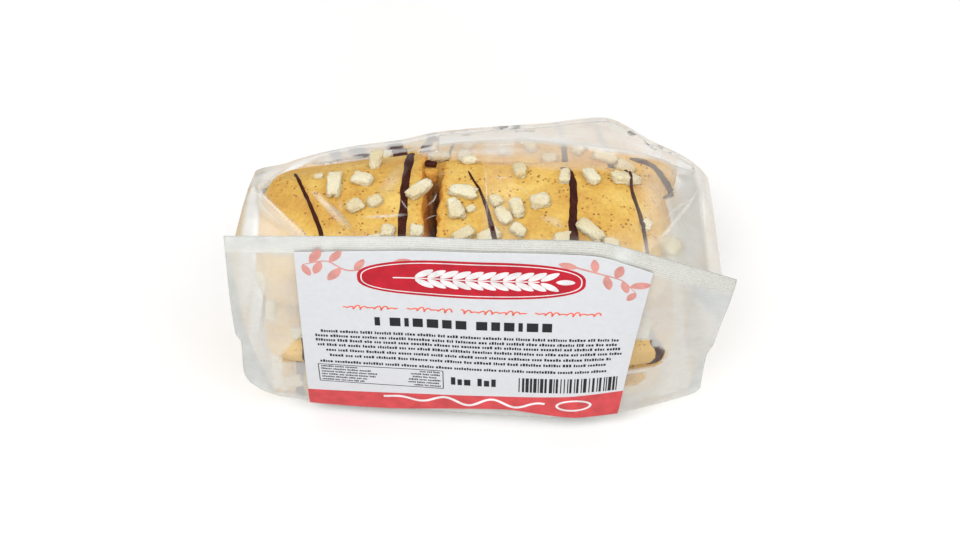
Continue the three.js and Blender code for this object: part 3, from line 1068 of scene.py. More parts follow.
def make_contents():
    """Makes all the food. Returns the biscuits, and everything that the film lies over."""
    biscuits, crust = make_biscuits()
    contents, front_top = Heap(), Heap()
    for name, shape in biscuits.items():
        contents.add(*shape)
        if "broken" in BISCUITS[name]:
            front_top.add(points_of(bpy.data.objects[name]), shape[1])
    trees = {name: tree_of(*shape) for name, shape in biscuits.items()}
    nibs, leaning, stripes, crumbs = Heap(), Heap(), Heap(), Heap()
    top_of_front_row(nibs, leaning, stripes, front_top, trees)
    other_toppings(nibs, stripes, trees)
    lay_chip(crumbs, GAP_CRUMB, 71)
    lay_chip(stripes, GAP_CHIP, 72)
    lay_chip(stripes, END_CHIP, 73)
    lay_chip(nibs, END_NIB, 74)

    gap_crumb = crumbs.make("gap_crumb", crust, "biscuit")
    set_attribute(gap_crumb, "crumb", np.full(crumbs.count, GAP_CRUMB_SHARE))
    sugar, chocolate, food = Heap(), Heap(), Heap()
    sugar.add(keep_in_film(nibs.all_points(), TOPPING_CLEARANCE, TOPPING_BULGE), nibs.faces)
    sugar.take(leaning)  # the film bulges over it
    sugar.make("sugar_nibs", sugar_material(), "sugar")
    chocolate.add(keep_in_film(stripes.all_points(), TOPPING_CLEARANCE, TOPPING_BULGE), stripes.faces)
    chocolate.make("chocolate_stripes", chocolate_material(), "chocolate")
    food.take(contents)
    food.take(sugar)
    return contents, food


biscuit_heap, food_heap = make_contents()

# ---------------------------------------------------------------- the film
# Haze is the share of a film that is milk, by how far the film stands off the food.
HAZE = smooth_curve((0.0, 0.0), (3.2, 0.01), (5.0, 0.12), (8.0, 0.44), (12.0, 0.70), (20.0, 0.85))
# Emptiness greys the film's milk as painted shade, where nothing behind it sends light back through it;
# EMPTY and each value named EMPTY below set how much.
EMPTY = (9.0, 18.0)  # distances over which the film turns from lit milk to grey, a painted shade
SEAL_RIB = 0.95  # pitch of its ribs
SEAL_BAND = (6.6, 9.0)  # height of the crimped band at its left and right ends
SEAL_HAZE = 0.86
SEAL_EMPTY = 0.40
SEAL_SHADE = (0.15, 0.95)  # how much greyer than the rest it is, left and right
SEAL_PAINTED_HIGHLIGHT = (40.0, 2.4, 0.8)  # X, half width and strength of a painted highlight on it, a bright streak where it bends
PANEL_HAZE = (0.62, 0.76)  # of the front panel beside the label, left and right
PANEL_EMPTY = (0.7, 0.85)
PANEL_CHANGE = (-20, 20)  # X between left and right
PANEL_EDGE_HAZE = 0.84  # of its flaps, outside the filled part
FLAP_EMPTY = 0.9
LEFT_FLAP = (-61.6, -65.0)
RIGHT_FLAP = (56, 62)
FOOT_HAZE = 0.84  # of the panel's foot, below the label
FOOT_BAND = (14, 6)
LINE_BLUR = 0.6  # half the width over which haze changes at a line
# Places where the front panel lies against a biscuit: its haze there, and the place's corners
# (X, level) in order.
WINDOWS = (
    (0.18, ((-63.0, 26.2), (-50.0, 27.4), (-50.0, 48.6))),
    (0.10, (
        (43.0, 28.2), (48.4, 28.2), (53.4, 28.4), (55.8, 30.2), (56.4, 33.5), (55.9, 37.0), (53.4, 40.0),
        (43.0, 39.8),
    )),
    (0.12, ((44.0, 37.0), (50.9, 37.0), (51.5, 40.5), (51.2, 44.0), (47.0, 44.8), (44.0, 44.0))),
    (0.30, ((44.0, 19.4), (48.5, 19.2), (51.2, 22.5), (50.2, 26.0), (44.0, 26.0))),
)
# On the top, by X: the Y from which the film stands off behind the front row, and its haze
# and emptiness there.
REAR_HAZE_FROM = smooth_curve(
    (-66, -4), (-63.4, -0.5), (-60.2, 8.5), (-56.7, 13.3), (-47, 14.6), (-38.9, 15.2), (-30.3, 21.6),
    (-23.8, 24.8), (-19.2, 22.6), (-17.4, 14.5), (2.7, 8.6), (10.5, 7.6), (23.8, 4.8), (35.8, 4.8),
    (44.8, 6.3), (50, 13), (56, 24),
)
REAR_HAZE = smooth_curve((-66, 0.70), (-30, 0.68), (-10, 0.52), (20, 0.45), (44, 0.32), (62, 0.22))
REAR_EMPTY = smooth_curve((-40, 0.3), (-10, 0.25), (10, 0.1), (60, 0.0))
REAR_EDGE_HAZE = 0.30  # over the front row's rear edge and just behind it
REAR_EDGE = ((-2.5, 0.4), (2.4, 5.5))  # distances past that Y in which each haze sets in
# X where the top biscuits end at the right, by the Y of the film over them.
CONTENT_END = smooth_curve(
    (-22, 53.2), (-18.8, 54.1), (-15, 55.6), (-11.7, 55.2), (-7.4, 54.2), (-5.2, 57.4), (-0.7, 58.6),
    (5.9, 60), (8.6, 59.4), (14, 62), (22, 66),
)
PAST_HAZE = 0.80  # past that X
NEAR_END_HAZE = 0.30  # the least just before it
NEAR_END = (43, 52)  # X over which that sets in
# Places on the top where the film lies on something: X and Y, half sizes, and the haze.
TOP_SPOTS = (
    ((-43.9, 19.5), (2.0, 1.3), 0.20),
    ((-36.6, 24.3), (2.8, 1.4), 0.14),
    ((-26.2, 29.8), (3.4, 2.0), 0.07),
    ((-17.6, 26.3), (1.8, 1.9), 0.06),
    ((52.6, -26.4), (6.0, 5.0), 0.46),
)
TOP_LEFT_END = (-64.6, -66.4)  # X over which the top turns grey, a painted shade
TOP_RIGHT_END = (65.4, 67.0)  # X over which it turns milky
TOP_RIGHT_HAZE = 0.9
TOP_REAR_EDGE = (0.84, 0.91)  # depths over which it turns milky, behind the fin
TOP_REAR_HAZE = 0.84
TOP_REAR_START = (-10, 10)  # X over which that begins
FIN_HAZE = (0.92, 0.80)  # at its left and right ends
FIN_CHANGE = (10, 50)  # X between these
FIN_EDGE = (2.0, 0.97)  # width of the fin's milky free edge, and its haze
FIN_EMPTY = 0.35
LAP_SEAM = (1.4, 10.4)  # X of the two edges of the seam that runs over the top
LAP_HAZE = (0.08, 0.30)  # more haze there, in front and over the rear row
GUSSET_HAZE = (0.44, 0.80)  # outside the gusset folds, left and right
GUSSET_EMPTY = 0.8  # outside the right one
GUSSET_BAND = (5.0, 0.56)  # width and haze of the folded strip along the left one
END_HAZE = 0.78  # the most on the end walls
END_EMPTY = 0.3
END_FROM = 64.0
PUSH_REACH = 2.5  # the deepest that a place of the film may lie in the food
PUSH_CLEARANCE = 0.3
MOST_HAZE = 0.97
# How a place of the film is told apart: heights over the roof where the top begins, how far
# behind the panel's CAD face the front's two films lie (middle and reach), and the reach of
# the panel's own.
TOP_BEGINS = (-4, -1)
FRONT_FILMS = (0.4, 0.9)
PANEL_REACH = 0.8


def envelope_points(corners):
    half = np.array([PACK_WIDTH, PACK_DEPTH, PACK_HEIGHT]) / 2
    crowded = np.sin(corners * np.pi / 2) * half
    radius = mix(LEFT_CORNER_RADIUS, CORNER_RADIUS, smooth_step(-0.8, -0.4, corners[:, :1]))
    radius = mix(FOOT_RADIUS, radius, smooth_step(-0.7, 0.2, corners[:, 2:]))
    most = half - radius
    core = np.clip(crowded, -most, most)
    out = crowded - core
    reach = radius / np.linalg.norm(out, axis=1, keepdims=True)
    across, back, up = ((core + out * reach) / half).T
    depth, height = (back + 1) / 2, (up + 1) / 2
    dish = SIDE_DISH * np.sin(np.pi * height) * np.sin(np.pi * depth)
    tuck = LEFT_TUCK * smooth_step(0, -1, across) * depth * height**2
    x = across * (PACK_WIDTH / 2 - dish * across**2) + tuck
    z = height * roof_z(x, depth)
    y = mix(front_y(x, z) + ENVELOPE_INSET, rear_y(x, z), depth)
    return np.stack([x, y, z], axis=-1)


def panel_points(corners):
    across, back, up = corners.T
    level = mix(PANEL_FOOT, PANEL_TOP, (up + 1) / 2)
    x = mix(LEFT_EDGE(level), RIGHT_EDGE(level), (across + 1) / 2)
    return panel_point(x, level, mix(*PANEL_LAYERS, (back + 1) / 2))


def fin_points(corners):
    across, back, up = corners.T
    x = mix(FIN_FROM, FIN_TO, (across + 1) / 2)
    share = (back + 1) / 2
    depth = mix(depth_at(x, FIN_FRONT(x)), FIN_REAR, share)
    roof = roof_z(x, depth)
    raised = FIN_THICKNESS + FIN_LIFT * (1 - share) ** 2
    z = np.where(up > 0, roof + raised, roof - FIN_BURIED)
    y = mix(front_y(x, roof) + ENVELOPE_INSET, rear_y(x, roof), depth)
    return np.stack([x, y, z], axis=-1)


def film_part(name, divisions, place):
    corners, faces = box_grid(*divisions)
    return new_piece(name, place(corners), faces, film)


def fuse(body, other):
    """Makes one closed skin of two, in the first one's place."""
    union = body.modifiers.new("union", "BOOLEAN")
    union.operation = "UNION"
    union.solver = "MANIFOLD"
    union.object = other
    fused = body.evaluated_get(bpy.context.evaluated_depsgraph_get())
    mesh = bpy.data.meshes.new_from_object(fused)
    body.modifiers.clear()
    body.data = mesh
    bpy.data.objects.remove(other)


film = film_material()
body = film_part("film", (120, 72, 60), envelope_points)
fuse(body, film_part("film_panel", (160, 1, 92), panel_points))
fuse(body, film_part("film_fin", (76, 22, 1), fin_points))
body.data.shade_smooth()
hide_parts("bag")


def across_line(past):
    """0 to 1 as a distance past a line turns positive."""
    return smooth_step(-LINE_BLUR, LINE_BLUR, past)


def in_window(x, level, corners):
    """1 inside a convex outline given anticlockwise, and 0 outside it."""
    inward = np.full(x.shape, 99.0)
    for (x0, level0), (x1, level1) in zip(corners, (*corners[1:], corners[0])):
        length = math.hypot(x1 - x0, level1 - level0)
        side = ((x1 - x0) * (level - level0) - (level1 - level0) * (x - x0)) / length
        inward = np.minimum(inward, side)
    return across_line(inward)


def food_film(points):
    """Haze and emptiness of the film by how far it stands off the biscuits."""
    tree = biscuit_heap.tree()
    distance = np.array([tree.find_nearest(Vector(point))[3] for point in points])
    return HAZE(distance), smooth_step(*EMPTY, distance)


def top_film(x, y, depth, on_top, haze, empty):
    """The same, with what is its own on the top: on_top is 1 there."""
    haze = np.maximum(haze, on_top * NEAR_END_HAZE * smooth_step(*NEAR_END, x))
    past = y - REAR_HAZE_FROM(x)
    haze = mix(haze, REAR_EDGE_HAZE, on_top * smooth_step(*REAR_EDGE[0], past))
    rearward = on_top * smooth_step(*REAR_EDGE[1], past)
    haze = mix(haze, REAR_HAZE(x), rearward)
    empty = mix(empty, REAR_EMPTY(x), rearward)
    past_end = on_top * smooth_step(0, 1.2, x - CONTENT_END(y))
    haze = mix(haze, PAST_HAZE, past_end)
    empty = mix(empty, 1.0, past_end)

    unfolded = on_top * (1 - smooth_step(*FOLD_FADE, depth))
    left = FOLD_LEFT(depth) - x
    left_haze = mix(GUSSET_BAND[1], GUSSET_HAZE[0], smooth_step(-0.8, 0.8, left - GUSSET_BAND[0]))
    haze = mix(haze, left_haze, unfolded * across_line(left))
    right = unfolded * across_line(x - FOLD_RIGHT(depth))
    haze = mix(haze, GUSSET_HAZE[1], right)
    empty = mix(empty, GUSSET_EMPTY, right)

    rear_edge = on_top * smooth_step(*TOP_REAR_EDGE, depth) * smooth_step(*TOP_REAR_START, x)
    haze = np.maximum(haze, TOP_REAR_HAZE * rear_edge)
    empty = mix(empty, 1.0, on_top * smooth_step(*TOP_LEFT_END, x))
    right_end = on_top * smooth_step(*TOP_RIGHT_END, x)
    haze = mix(haze, TOP_RIGHT_HAZE, right_end)
    empty = mix(empty, 0.0, right_end)
    for (spot_x, spot_y), (half_x, half_y), spot_haze in TOP_SPOTS:
        reach = np.hypot((x - spot_x) / half_x, (y - spot_y) / half_y)
        haze = mix(haze, spot_haze, on_top * smooth_step(1.25, 0.75, reach))
    lap = across_line(x - LAP_SEAM[0]) * across_line(LAP_SEAM[1] - x)
    return haze + mix(*LAP_HAZE, rearward) * lap * on_top, empty


def fin_film(x, y, above_roof, haze, empty):
    """The same, with the fin: above_roof is how far the film stands over the top's own."""
    behind_edge = y - FIN_FRONT(x)
    on_fin = (above_roof > 0.25) & (x > FIN_FROM - 0.1) & (x < FIN_TO + 0.1) & (behind_edge > -0.6)
    along = smooth_step(*FIN_CHANGE, x)
    on_edge = smooth_step(FIN_EDGE[0] + 0.5, FIN_EDGE[0] - 0.5, behind_edge)
    haze = np.where(on_fin, mix(mix(*FIN_HAZE, along), FIN_EDGE[1], on_edge), haze)
    return haze, np.where(on_fin, mix(FIN_EMPTY, 0.0, along * (1 - on_edge)), empty)


def front_film(x, y, level, haze, empty):
    """The same, with the front panel between its seals."""
    across = smooth_step(*PANEL_CHANGE, x)
    panel_haze = np.maximum(mix(*PANEL_HAZE, across), FOOT_HAZE * smooth_step(*FOOT_BAND, level))
    flap = np.maximum(smooth_step(*LEFT_FLAP, x), smooth_step(*RIGHT_FLAP, x))
    panel_haze = np.maximum(panel_haze, PANEL_EDGE_HAZE * flap)
    for window_haze, corners in WINDOWS:
        panel_haze = mix(panel_haze, window_haze, in_window(x, level, corners))
    on_front = np.abs(y - panel_y(x, level) - FRONT_FILMS[0]) < FRONT_FILMS[1]
    haze = np.where(on_front, panel_haze, haze)
    panel_empty = np.maximum(mix(*PANEL_EMPTY, across), FLAP_EMPTY * flap)
    return haze, np.where(on_front, panel_empty, empty)


def film_values(points):
    """Haze, emptiness and crimping of the film at each point, and its level on the panel."""
    x, y, z = points.T
    haze, empty = food_film(points)
    nearest, farthest = front_y(x, z) + ENVELOPE_INSET, rear_y(x, z)
    depth = (y - nearest) / (farthest - nearest)
    above_roof = z - roof_z(x, depth)
    on_top = smooth_step(*TOP_BEGINS, above_roof) * (y > panel_y(x, z) + 1.2)
    haze, empty = top_film(x, y, depth, on_top, haze, empty)
    on_end = (np.abs(x) > END_FROM) & (on_top < 0.1)
    haze = np.where(on_end, np.minimum(haze, END_HAZE), haze)
    empty = np.where(on_end, END_EMPTY, empty)
    haze, empty = fin_film(x, y, above_roof, haze, empty)

    level = z + droop(x, z)
    haze, empty = front_film(x, y, level, haze, empty)
    on_panel = np.abs(y - panel_y(x, level) - sum(PANEL_LAYERS) / 2) < PANEL_REACH
    along_seal = (x - LEFT_EDGE(PANEL_TOP)) / (SEAL_END - LEFT_EDGE(PANEL_TOP))
    seal_foot = PANEL_TOP - mix(*SEAL_BAND, along_seal)
    crimped = on_panel * smooth_step(-0.5, 0.5, level - seal_foot)
    haze = mix(haze, np.maximum(haze, SEAL_HAZE), crimped)
    empty = mix(empty, SEAL_EMPTY, crimped)
    # A painted highlight: the band's painted shade and its crimp give way along a bright streak.
    streak_x, half_width, strength = SEAL_PAINTED_HIGHLIGHT
    streak = strength * bump(x - streak_x, half_width)
    seal = crimped * mix(*SEAL_SHADE, along_seal) * (1 - streak)
    return {"haze": np.clip(haze, 0, MOST_HAZE), "empty": empty, "seal": seal, "level": level}


def push_out(points):
    """Moves the places of the film that lie in or too near the food out of it."""
    tree = food_heap.tree()
    moved = points.copy()
    for i, point in enumerate(points):
        near, normal, _, distance = tree.find_nearest(Vector(point))
        inside = distance < PUSH_REACH and (Vector(point) - near).dot(normal) < 0
        if inside or distance < PUSH_CLEARANCE:
            moved[i] = np.array(near + normal * PUSH_CLEARANCE)
    return moved


film_mm = push_out(points_of(body))
body.data.vertices.foreach_set("co", to_frame(film_mm).astype(np.float32).ravel())
for attribute_name, values in film_values(film_mm).items():
    set_attribute(body, attribute_name, values)

# Creases and painted highlights of the film's top, each with its (X, Y) points, its width and its haze.
CREASES = (
    (((-68.0, 1.0), (-58.4, -11.9), (-49.8, -21.7)), 1.2, 0.40),
    (((-67.2, 0.0), (-63.8, -10.1), (-60.6, -14.7), (-56.4, -20.1)), 1.6, 0.30),
    (((67.8, 10.5), (61.4, -5.3), (54.6, -18.7), (49.4, -24.7)), 1.5, 0.50),
    (((67.4, 6.0), (59.4, -6.4), (52.6, -17.9)), 1.0, 0.35),
    (((67.7, 9.4), (67.1, -5.8), (66.4, -15.0)), 1.2, 0.40),
    (((-49.8, -4.5), (-43.7, -12.8), (-37.5, -21.5)), 3.0, 0.42),
    (((-44.4, -10.0), (-40.2, -15.6), (-36.4, -21.5)), 1.2, 0.36),
    (((-41.4, -8.6), (-40.6, -12.0), (-40.4, -15.0)), 1.4, 0.16),
    (((-34.8, -16.2), (-27.6, -15.7), (-20.5, -15.0)), 1.8, 0.50),
    (((-23.6, -8.2), (-21.4, -12.4), (-20.0, -13.8)), 0.7, 0.40),
    (((-16.4, -17.5), (-13.5, -15.6), (-11.8, -15.2)), 0.8, 0.30),
    (((-15.8, -12.0), (-13.2, -8.5), (-12.7, -5.7)), 0.8, 0.34),
    # A wide soft band of painted sheen.
    (((-22.6, 8.5), (-26.0, -1.0), (-29.4, -8.3)), 6.0, 0.15),
    (((1.2, 9.0), (2.0, -9.2), (2.0, -22.0)), 0.6, 0.26),
    (((3.3, 0.4), (6.0, 0.2), (9.5, -0.2)), 0.8, 0.30),
    (((17.0, -15.8), (21.0, -17.4), (24.6, -21.0)), 4.0, 0.24),
    (((46.4, -12.8), (48.6, -15.6), (49.8, -19.0)), 0.8, 0.40),
    (((-67.0, 2.6), (-65.4, -1.6), (-64.0, -3.4)), 0.7, 0.45),
    (((-66.4, -1.8), (-64.8, -5.0), (-64.6, -8.0)), 0.6, 0.40),
)
CREASE_SHARES = (0, 0.4, 0.85, 1, 0.85, 0.4, 0)  # of a crease's haze, across its upper side
CREASE_HEIGHT = 0.02  # above and under the film's skin
CREASE_FOOT = (0.3, -0.3)  # the two places across its underside
CREASE_STEP = 0.9
# Short painted highlights on wrinkles, laid at random.
RANDOM_CREASE_HIGHLIGHTS = 12


def crease_ring(tree, x, y, ahead, width):
    """A crease's section at a place of the film, or None off its edge."""
    upper = [(aside, CREASE_HEIGHT) for aside in np.linspace(-0.5, 0.5, len(CREASE_SHARES))]
    ring = []
    for aside, rise in (*upper, *((aside, -CREASE_HEIGHT) for aside in CREASE_FOOT)):
        place_x, place_y = x - ahead[1] * aside * width, y + ahead[0] * aside * width
        hit, _ = look_down(tree, place_x, place_y)
        if hit is None:
            return None
        ring.append((place_x, place_y, hit.z + rise))
    return ring


def lay_crease(heap, tree, places, width, haze):
    """Lays a thin ribbon of milkier film on the top: a crease, whiter in part as a painted highlight.
    Returns the haze at its points.
    """
    places = np.array(places, float)
    come = np.concatenate([[0], np.cumsum(np.linalg.norm(np.diff(places, axis=0), axis=1))])
    along = np.linspace(0, come[-1], max(int(come[-1] / CREASE_STEP), 6))
    x = smooth_curve(*zip(come, places[:, 0]))(along)
    y = smooth_curve(*zip(come, places[:, 1]))(along)
    ahead = np.stack([np.gradient(x), np.gradient(y)], axis=-1)
    ahead /= np.linalg.norm(ahead, axis=1, keepdims=True)
    rings = []
    for i in range(len(along)):
        slim = width * min(1.0, 0.25 + 0.3 * min(i, len(along) - 1 - i))
        ring = crease_ring(tree, x[i], y[i], ahead[i], slim)
        if ring is None:
            return []
        rings.append(ring)
    heap.add_tube(rings)
    shares = np.array([*CREASE_SHARES, 0, 0])
    fade = np.sin(np.linspace(0.02, np.pi - 0.02, len(rings)))[:, None]
    return list((fade * haze * shares).ravel())


def random_crease_highlight(rng):
    """The places, width and haze of a short painted highlight on a wrinkle anywhere on the top."""
    start = np.array([rng.uniform(-60, 58), rng.uniform(-22, 26)])
    heading, length = rng.uniform(0, math.pi), rng.uniform(3, 9)
    ahead = np.array([math.cos(heading), math.sin(heading)]) * length
    bend = np.array([-ahead[1], ahead[0]]) * rng.uniform(-0.2, 0.2)
    places = (start, start + ahead / 2 + bend, start + ahead)
    return places, rng.uniform(0.4, 1.0), rng.uniform(0.08, 0.2)


def make_creases():
    tree = tree_of(film_mm, [list(face.vertices) for face in body.data.polygons])
    rng = np.random.default_rng(3)
    creases, haze = Heap(), []
    for crease in (*CREASES, *(random_crease_highlight(rng) for _ in range(RANDOM_CREASE_HIGHLIGHTS))):
        haze += lay_crease(creases, tree, *crease)
    piece = creases.make("film_creases", film, "film")
    set_attribute(piece, "haze", haze)
    set_attribute(piece, "matt", np.ones(len(haze)))


make_creases()

# ---------------------------------------------------------------- the label
LABEL_FRONT = LABEL_GAP + LABEL_THICKNESS  # of the paper's face, before the panel's
INK_SUNK = 0.02  # how far the ink's base lies inside the paper
INK_RISE = (0.03, 0.05, 0.07)  # of the three layers that print may lie in
INK_STEP = 1.4  # length of one division of a printed field


def label_place(across, share):
    """X and level of a place on the label, from shares across it and up it."""
    left, right = mix(LABEL_FOOT[0], LABEL_TOP[0], share), mix(LABEL_FOOT[1], LABEL_TOP[1], share)
    x = mix(left, right, across)
    return x, mix(LABEL_FOOT_Z(x), LABEL_HEAD_Z(x), share)


def label_points(corners):
    across, back, up = corners.T
    x, level = label_place((across + 1) / 2, (up + 1) / 2)
    return panel_point(x, level, -np.where(back < 0, LABEL_FRONT, LABEL_GAP))


def print_field(heap, divisions, place, layer=0):
    """A printed field. place turns shares across and up it into X and level."""
    corners, faces = box_grid(divisions[0], 1, divisions[1])
    across, back, up = corners.T
    x, level = place((across + 1) / 2, (up + 1) / 2)
    before = np.where(back < 0, LABEL_FRONT + INK_RISE[layer], LABEL_FRONT - INK_SUNK)
    heap.add(panel_point(x, level, -before), faces.tolist())


def print_bar(heap, x, level, width, height, layer=0):
    """An upright rectangle, from its left edge and its middle level."""
    divisions = (math.ceil(width / INK_STEP), math.ceil(height / INK_STEP))
    print_field(heap, divisions, lambda u, v: (x + width * u, level + height * (v - 0.5)), layer)


def print_oval(heap, x, level, size, power=2.0, heading=0.0, layer=0):
    """An oval, or a pointed leaf where its power is under 2, about its middle."""
    turn = math.radians(heading)
    half_power = 1 / min(power, 1.6) if power < 2 else 1 / power

    def place(u, v):
        along = np.sin((u - 0.5) * np.pi) * 0.998
        half = (1 - np.abs(along) ** power) ** half_power
        a, b = along * size[0] / 2, half * (2 * v - 1) * size[1] / 2
        return x + a * math.cos(turn) - b * math.sin(turn), level + a * math.sin(turn) + b * math.cos(turn)

    divisions = (max(math.ceil(size[0] / INK_STEP), 10), max(math.ceil(size[1] / INK_STEP), 2))
    print_field(heap, divisions, place, layer)


def print_stroke(heap, xs, levels, width, layer=0, closed=False):
    """A line of one width along a path; width may also change along it."""
    path = np.stack([xs, levels], axis=-1)
    if closed:
        ahead = np.roll(path, -1, axis=0) - np.roll(path, 1, axis=0)
    else:
        ahead = np.gradient(path, axis=0)
    ahead /= np.linalg.norm(ahead, axis=1, keepdims=True)
    aside = np.stack([-ahead[:, 1], ahead[:, 0]], axis=-1) * np.reshape(width, (-1, 1)) / 2
    low, high = LABEL_FRONT - INK_SUNK, LABEL_FRONT + INK_RISE[layer]
    rings = np.stack([
        panel_point(*(path + side * aside).T, -before)
        for side, before in ((-1, low), (-1, high), (1, high), (1, low))
    ], axis=1)
    if not closed:
        heap.add_tube(rings)
        return
    rings = np.concatenate([rings, rings[:1]])
    heap.add(rings.reshape(-1, 3), ring_faces(len(rings), 4).tolist())


def print_line_of_blocks(heap, span, level, height, rng, word=(3, 9)):
    """A line of small blocks in groups, where the pack has small print."""
    x = span[0]
    while x < span[1] - 1.5:
        count = int(rng.integers(*word))
        for _ in range(count):
            width = rng.uniform(0.42, 0.72) * height
            tall = height * (1.0, 1.0, 1.28)[int(rng.integers(3))]
            if x + width > span[1]:
                break
            print_bar(heap, x, level + (tall - height) / 2, width, tall)
            x += width + 0.22 * height
        x += 0.5 * height


def print_sprig(heap, xs, levels, leaves, leaf_size):
    """A curved stem with pointed leaves; a leaf is (share along the stem, heading)."""
    share = np.linspace(0, 1, 40)
    x = smooth_curve(*zip(STEM_SHARES, xs))(share)
    level = smooth_curve(*zip(STEM_SHARES, levels))(share)
    print_stroke(heap, x, level, np.linspace(0.3, 0.7, 40))
    for where, heading in leaves:
        size = np.array(leaf_size) * (0.8 + 0.3 * math.sin(where * 9) ** 2)
        turn = math.radians(heading)
        leaf_x = np.interp(where, share, x) + 0.52 * size[0] * math.cos(turn)
        leaf_level = np.interp(where, share, level) + 0.52 * size[0] * math.sin(turn)
        print_oval(heap, leaf_x, leaf_level, size, 1.7, heading)


def oval_path(centre, size, power=2.0):
    turns = np.linspace(0, 2 * np.pi, 160, endpoint=False)
    c, s = np.cos(turns), np.sin(turns)
    x = centre[0] + size[0] / 2 * np.sign(c) * np.abs(c) ** (2 / power)
    return x, centre[1] + size[1] / 2 * np.sign(s) * np.abs(s) ** (2 / power)


# The plaque near the top: an oval with a line inside it and a plain ear of grain.
PLAQUE = (-2.5, 71.3)
PLAQUE_SIZE = (65.6, 15.6)
PLAQUE_POWER = 2.7
PLAQUE_LINE = (63.2, 13.4, 0.35)  # length, height and width of the line inside it
EAR_STEM = (-25, 17, 0.45)  # its ends and its width
EAR_GRAINS = (11, -16, 20)  # pairs of grains, and X of the first and the last
EAR_GRAIN = (6.2, 2.3)
EAR_TIP = ((24.5, 71.3), (5.5, 2.2))
# Two bands of words become waves and bars, and the small print becomes lines of blocks.
WAVY_WORDS = ((-40.1, -24.0), (-21.4, -8.2), (-5.6, 13.4), (16.0, 35.0))
WAVY_LEVEL = 57.5
WAVE_TURN = 3.1  # radians for each millimetre
BAR_WORDS = ((1.6,), (3.2, 1.3, 3.0, 3.4, 2.8, 3.2), (3.3, 2.6, 3.1, 1.3, 3.4, 2.9))
BAR_WORDS_FROM = (-31.1, 51.3)
BAR_GAPS = (1.15, 1.7)  # between two bars, and more of it between words
BLOCK_LINES = (
    (-47.4, 41.3, 45.6), (-49.2, 42.8, 43.3), (-49.2, 42.8, 41.1), (-48.8, 42.8, 38.7), (-46.4, 39.6, 36.1),
    (-45.5, 38.5, 33.4),
)
LAST_LINE = ((-48.6, 39.6), 30.1, 1.0)  # its ends, level and height
WEIGHT_BLOCKS = ((-8.9, 5.4), 23.2, 3.0)
TABLE = (-49.4, -11.3, 19.3, 28.4)  # its left, right, foot and head
TABLE_ROWS = (6, 27.4, 1.42)  # their number, the first one's level and their pitch
CODE = (11.8, 42.4, 23.3, 7.2)  # of the bar pattern: its ends, its middle's level and its height
# The field along the label's foot, with a plain wave and a ring.
BAND_TOP = smooth_curve((-54, 13.7), (43, 18.8))
BAND_WAVE = (-30, 20, 13.1, 1.9)  # its ends, its level and its height each way
BAND_RING = ((29, 13.0), (10.4, 5.0))
STEM_SHARES = (0, 0.35, 0.7, 1)
SPRIGS = (
    ((-50.5, -44, -37, -24), (76.4, 78.0, 74.0, 77.5),
     ((0.0, -70), (0.12, 62), (0.28, -110), (0.42, 55), (0.58, -125), (0.74, 60), (0.97, 15)), (6.4, 2.9)),
    ((44.5, 40, 34, 27), (70.0, 74.5, 75.5, 77.6),
     ((0.0, -115), (0.14, 30), (0.3, -75), (0.44, 75), (0.6, -80), (0.76, 95), (0.97, 165)), (6.0, 2.8)),
)
INK_UNEVEN = 0.12
INKS = {
    "print_plaque": (0.46, 0.008, 0.022),
    "print_white": (0.76, 0.74, 0.74),
    "print_coral": (0.78, 0.14, 0.085),
    "print_black": (0.012, 0.012, 0.014),
    "print_band": (0.58, 0.064, 0.070),
    "print_sprigs": (0.61, 0.27, 0.235),
}


def print_ear(heap):
    """A plain ear of grain along the plaque."""
    start, end, width = EAR_STEM
    print_stroke(heap, np.linspace(start, end, 30), np.full(30, PLAQUE[1]), width, layer=2)
    pairs, first, last = EAR_GRAINS
    for pair in range(pairs):
        x = mix(first, last, pair / (pairs - 1))
        for side in (-1, 1):
            print_oval(heap, x, PLAQUE[1] + side * 2.1, EAR_GRAIN, 1.8, side * 32, layer=2)
    print_oval(heap, *EAR_TIP[0], EAR_TIP[1], 1.8, layer=2)


def print_wavy_words(heap):
    for start, end in WAVY_WORDS:
        along = np.linspace(0, end - start, int((end - start) * 6))
        height = 1.05 * (0.55 + 0.45 * np.sin(along * 0.9 + start))
        x = start + along + 0.35 * np.sin(along * WAVE_TURN)
        print_stroke(heap, x, WAVY_LEVEL + height * np.sin(along * WAVE_TURN + 1), 0.5)


def print_bar_words(heap):
    x, level = BAR_WORDS_FROM
    for word in BAR_WORDS:
        for width in word:
            print_bar(heap, x, level, width, 3.9)
            x += width + BAR_GAPS[0]
        x += BAR_GAPS[1]


def print_table(heap, rng):
    """A box with two columns of tiny print."""
    left, right, foot, head = TABLE
    corners = ((left, foot), (right, foot), (right, head), (left, head), (left, foot))
    for (x0, level0), (x1, level1) in zip(corners, corners[1:]):
        print_stroke(heap, np.linspace(x0, x1, 28), np.linspace(level0, level1, 28), 0.28)
    count, first, pitch = TABLE_ROWS
    for row in range(count):
        level = first - row * pitch
        print_line_of_blocks(heap, (-48.6, -30 - rng.uniform(0, 8)), level, 0.62, rng)
        print_line_of_blocks(heap, (-23 + rng.uniform(0, 5), -12), level, 0.62, rng)


def print_code(heap, rng):
    """A pattern of bars that codes nothing."""
    x, end, level, height = CODE
    while x < end:
        width = (0.35, 0.35, 0.7, 1.0)[int(rng.integers(4))]
        print_bar(heap, x, level, width, height)
        x += width + (0.35, 0.35, 0.7)[int(rng.integers(3))]


def band_place(u, v):
    x, _ = label_place(u, 0)
    top_share = (BAND_TOP(x) - LABEL_FOOT_Z(x)) / (LABEL_HEAD_Z(x) - LABEL_FOOT_Z(x))
    return label_place(u, v * top_share)


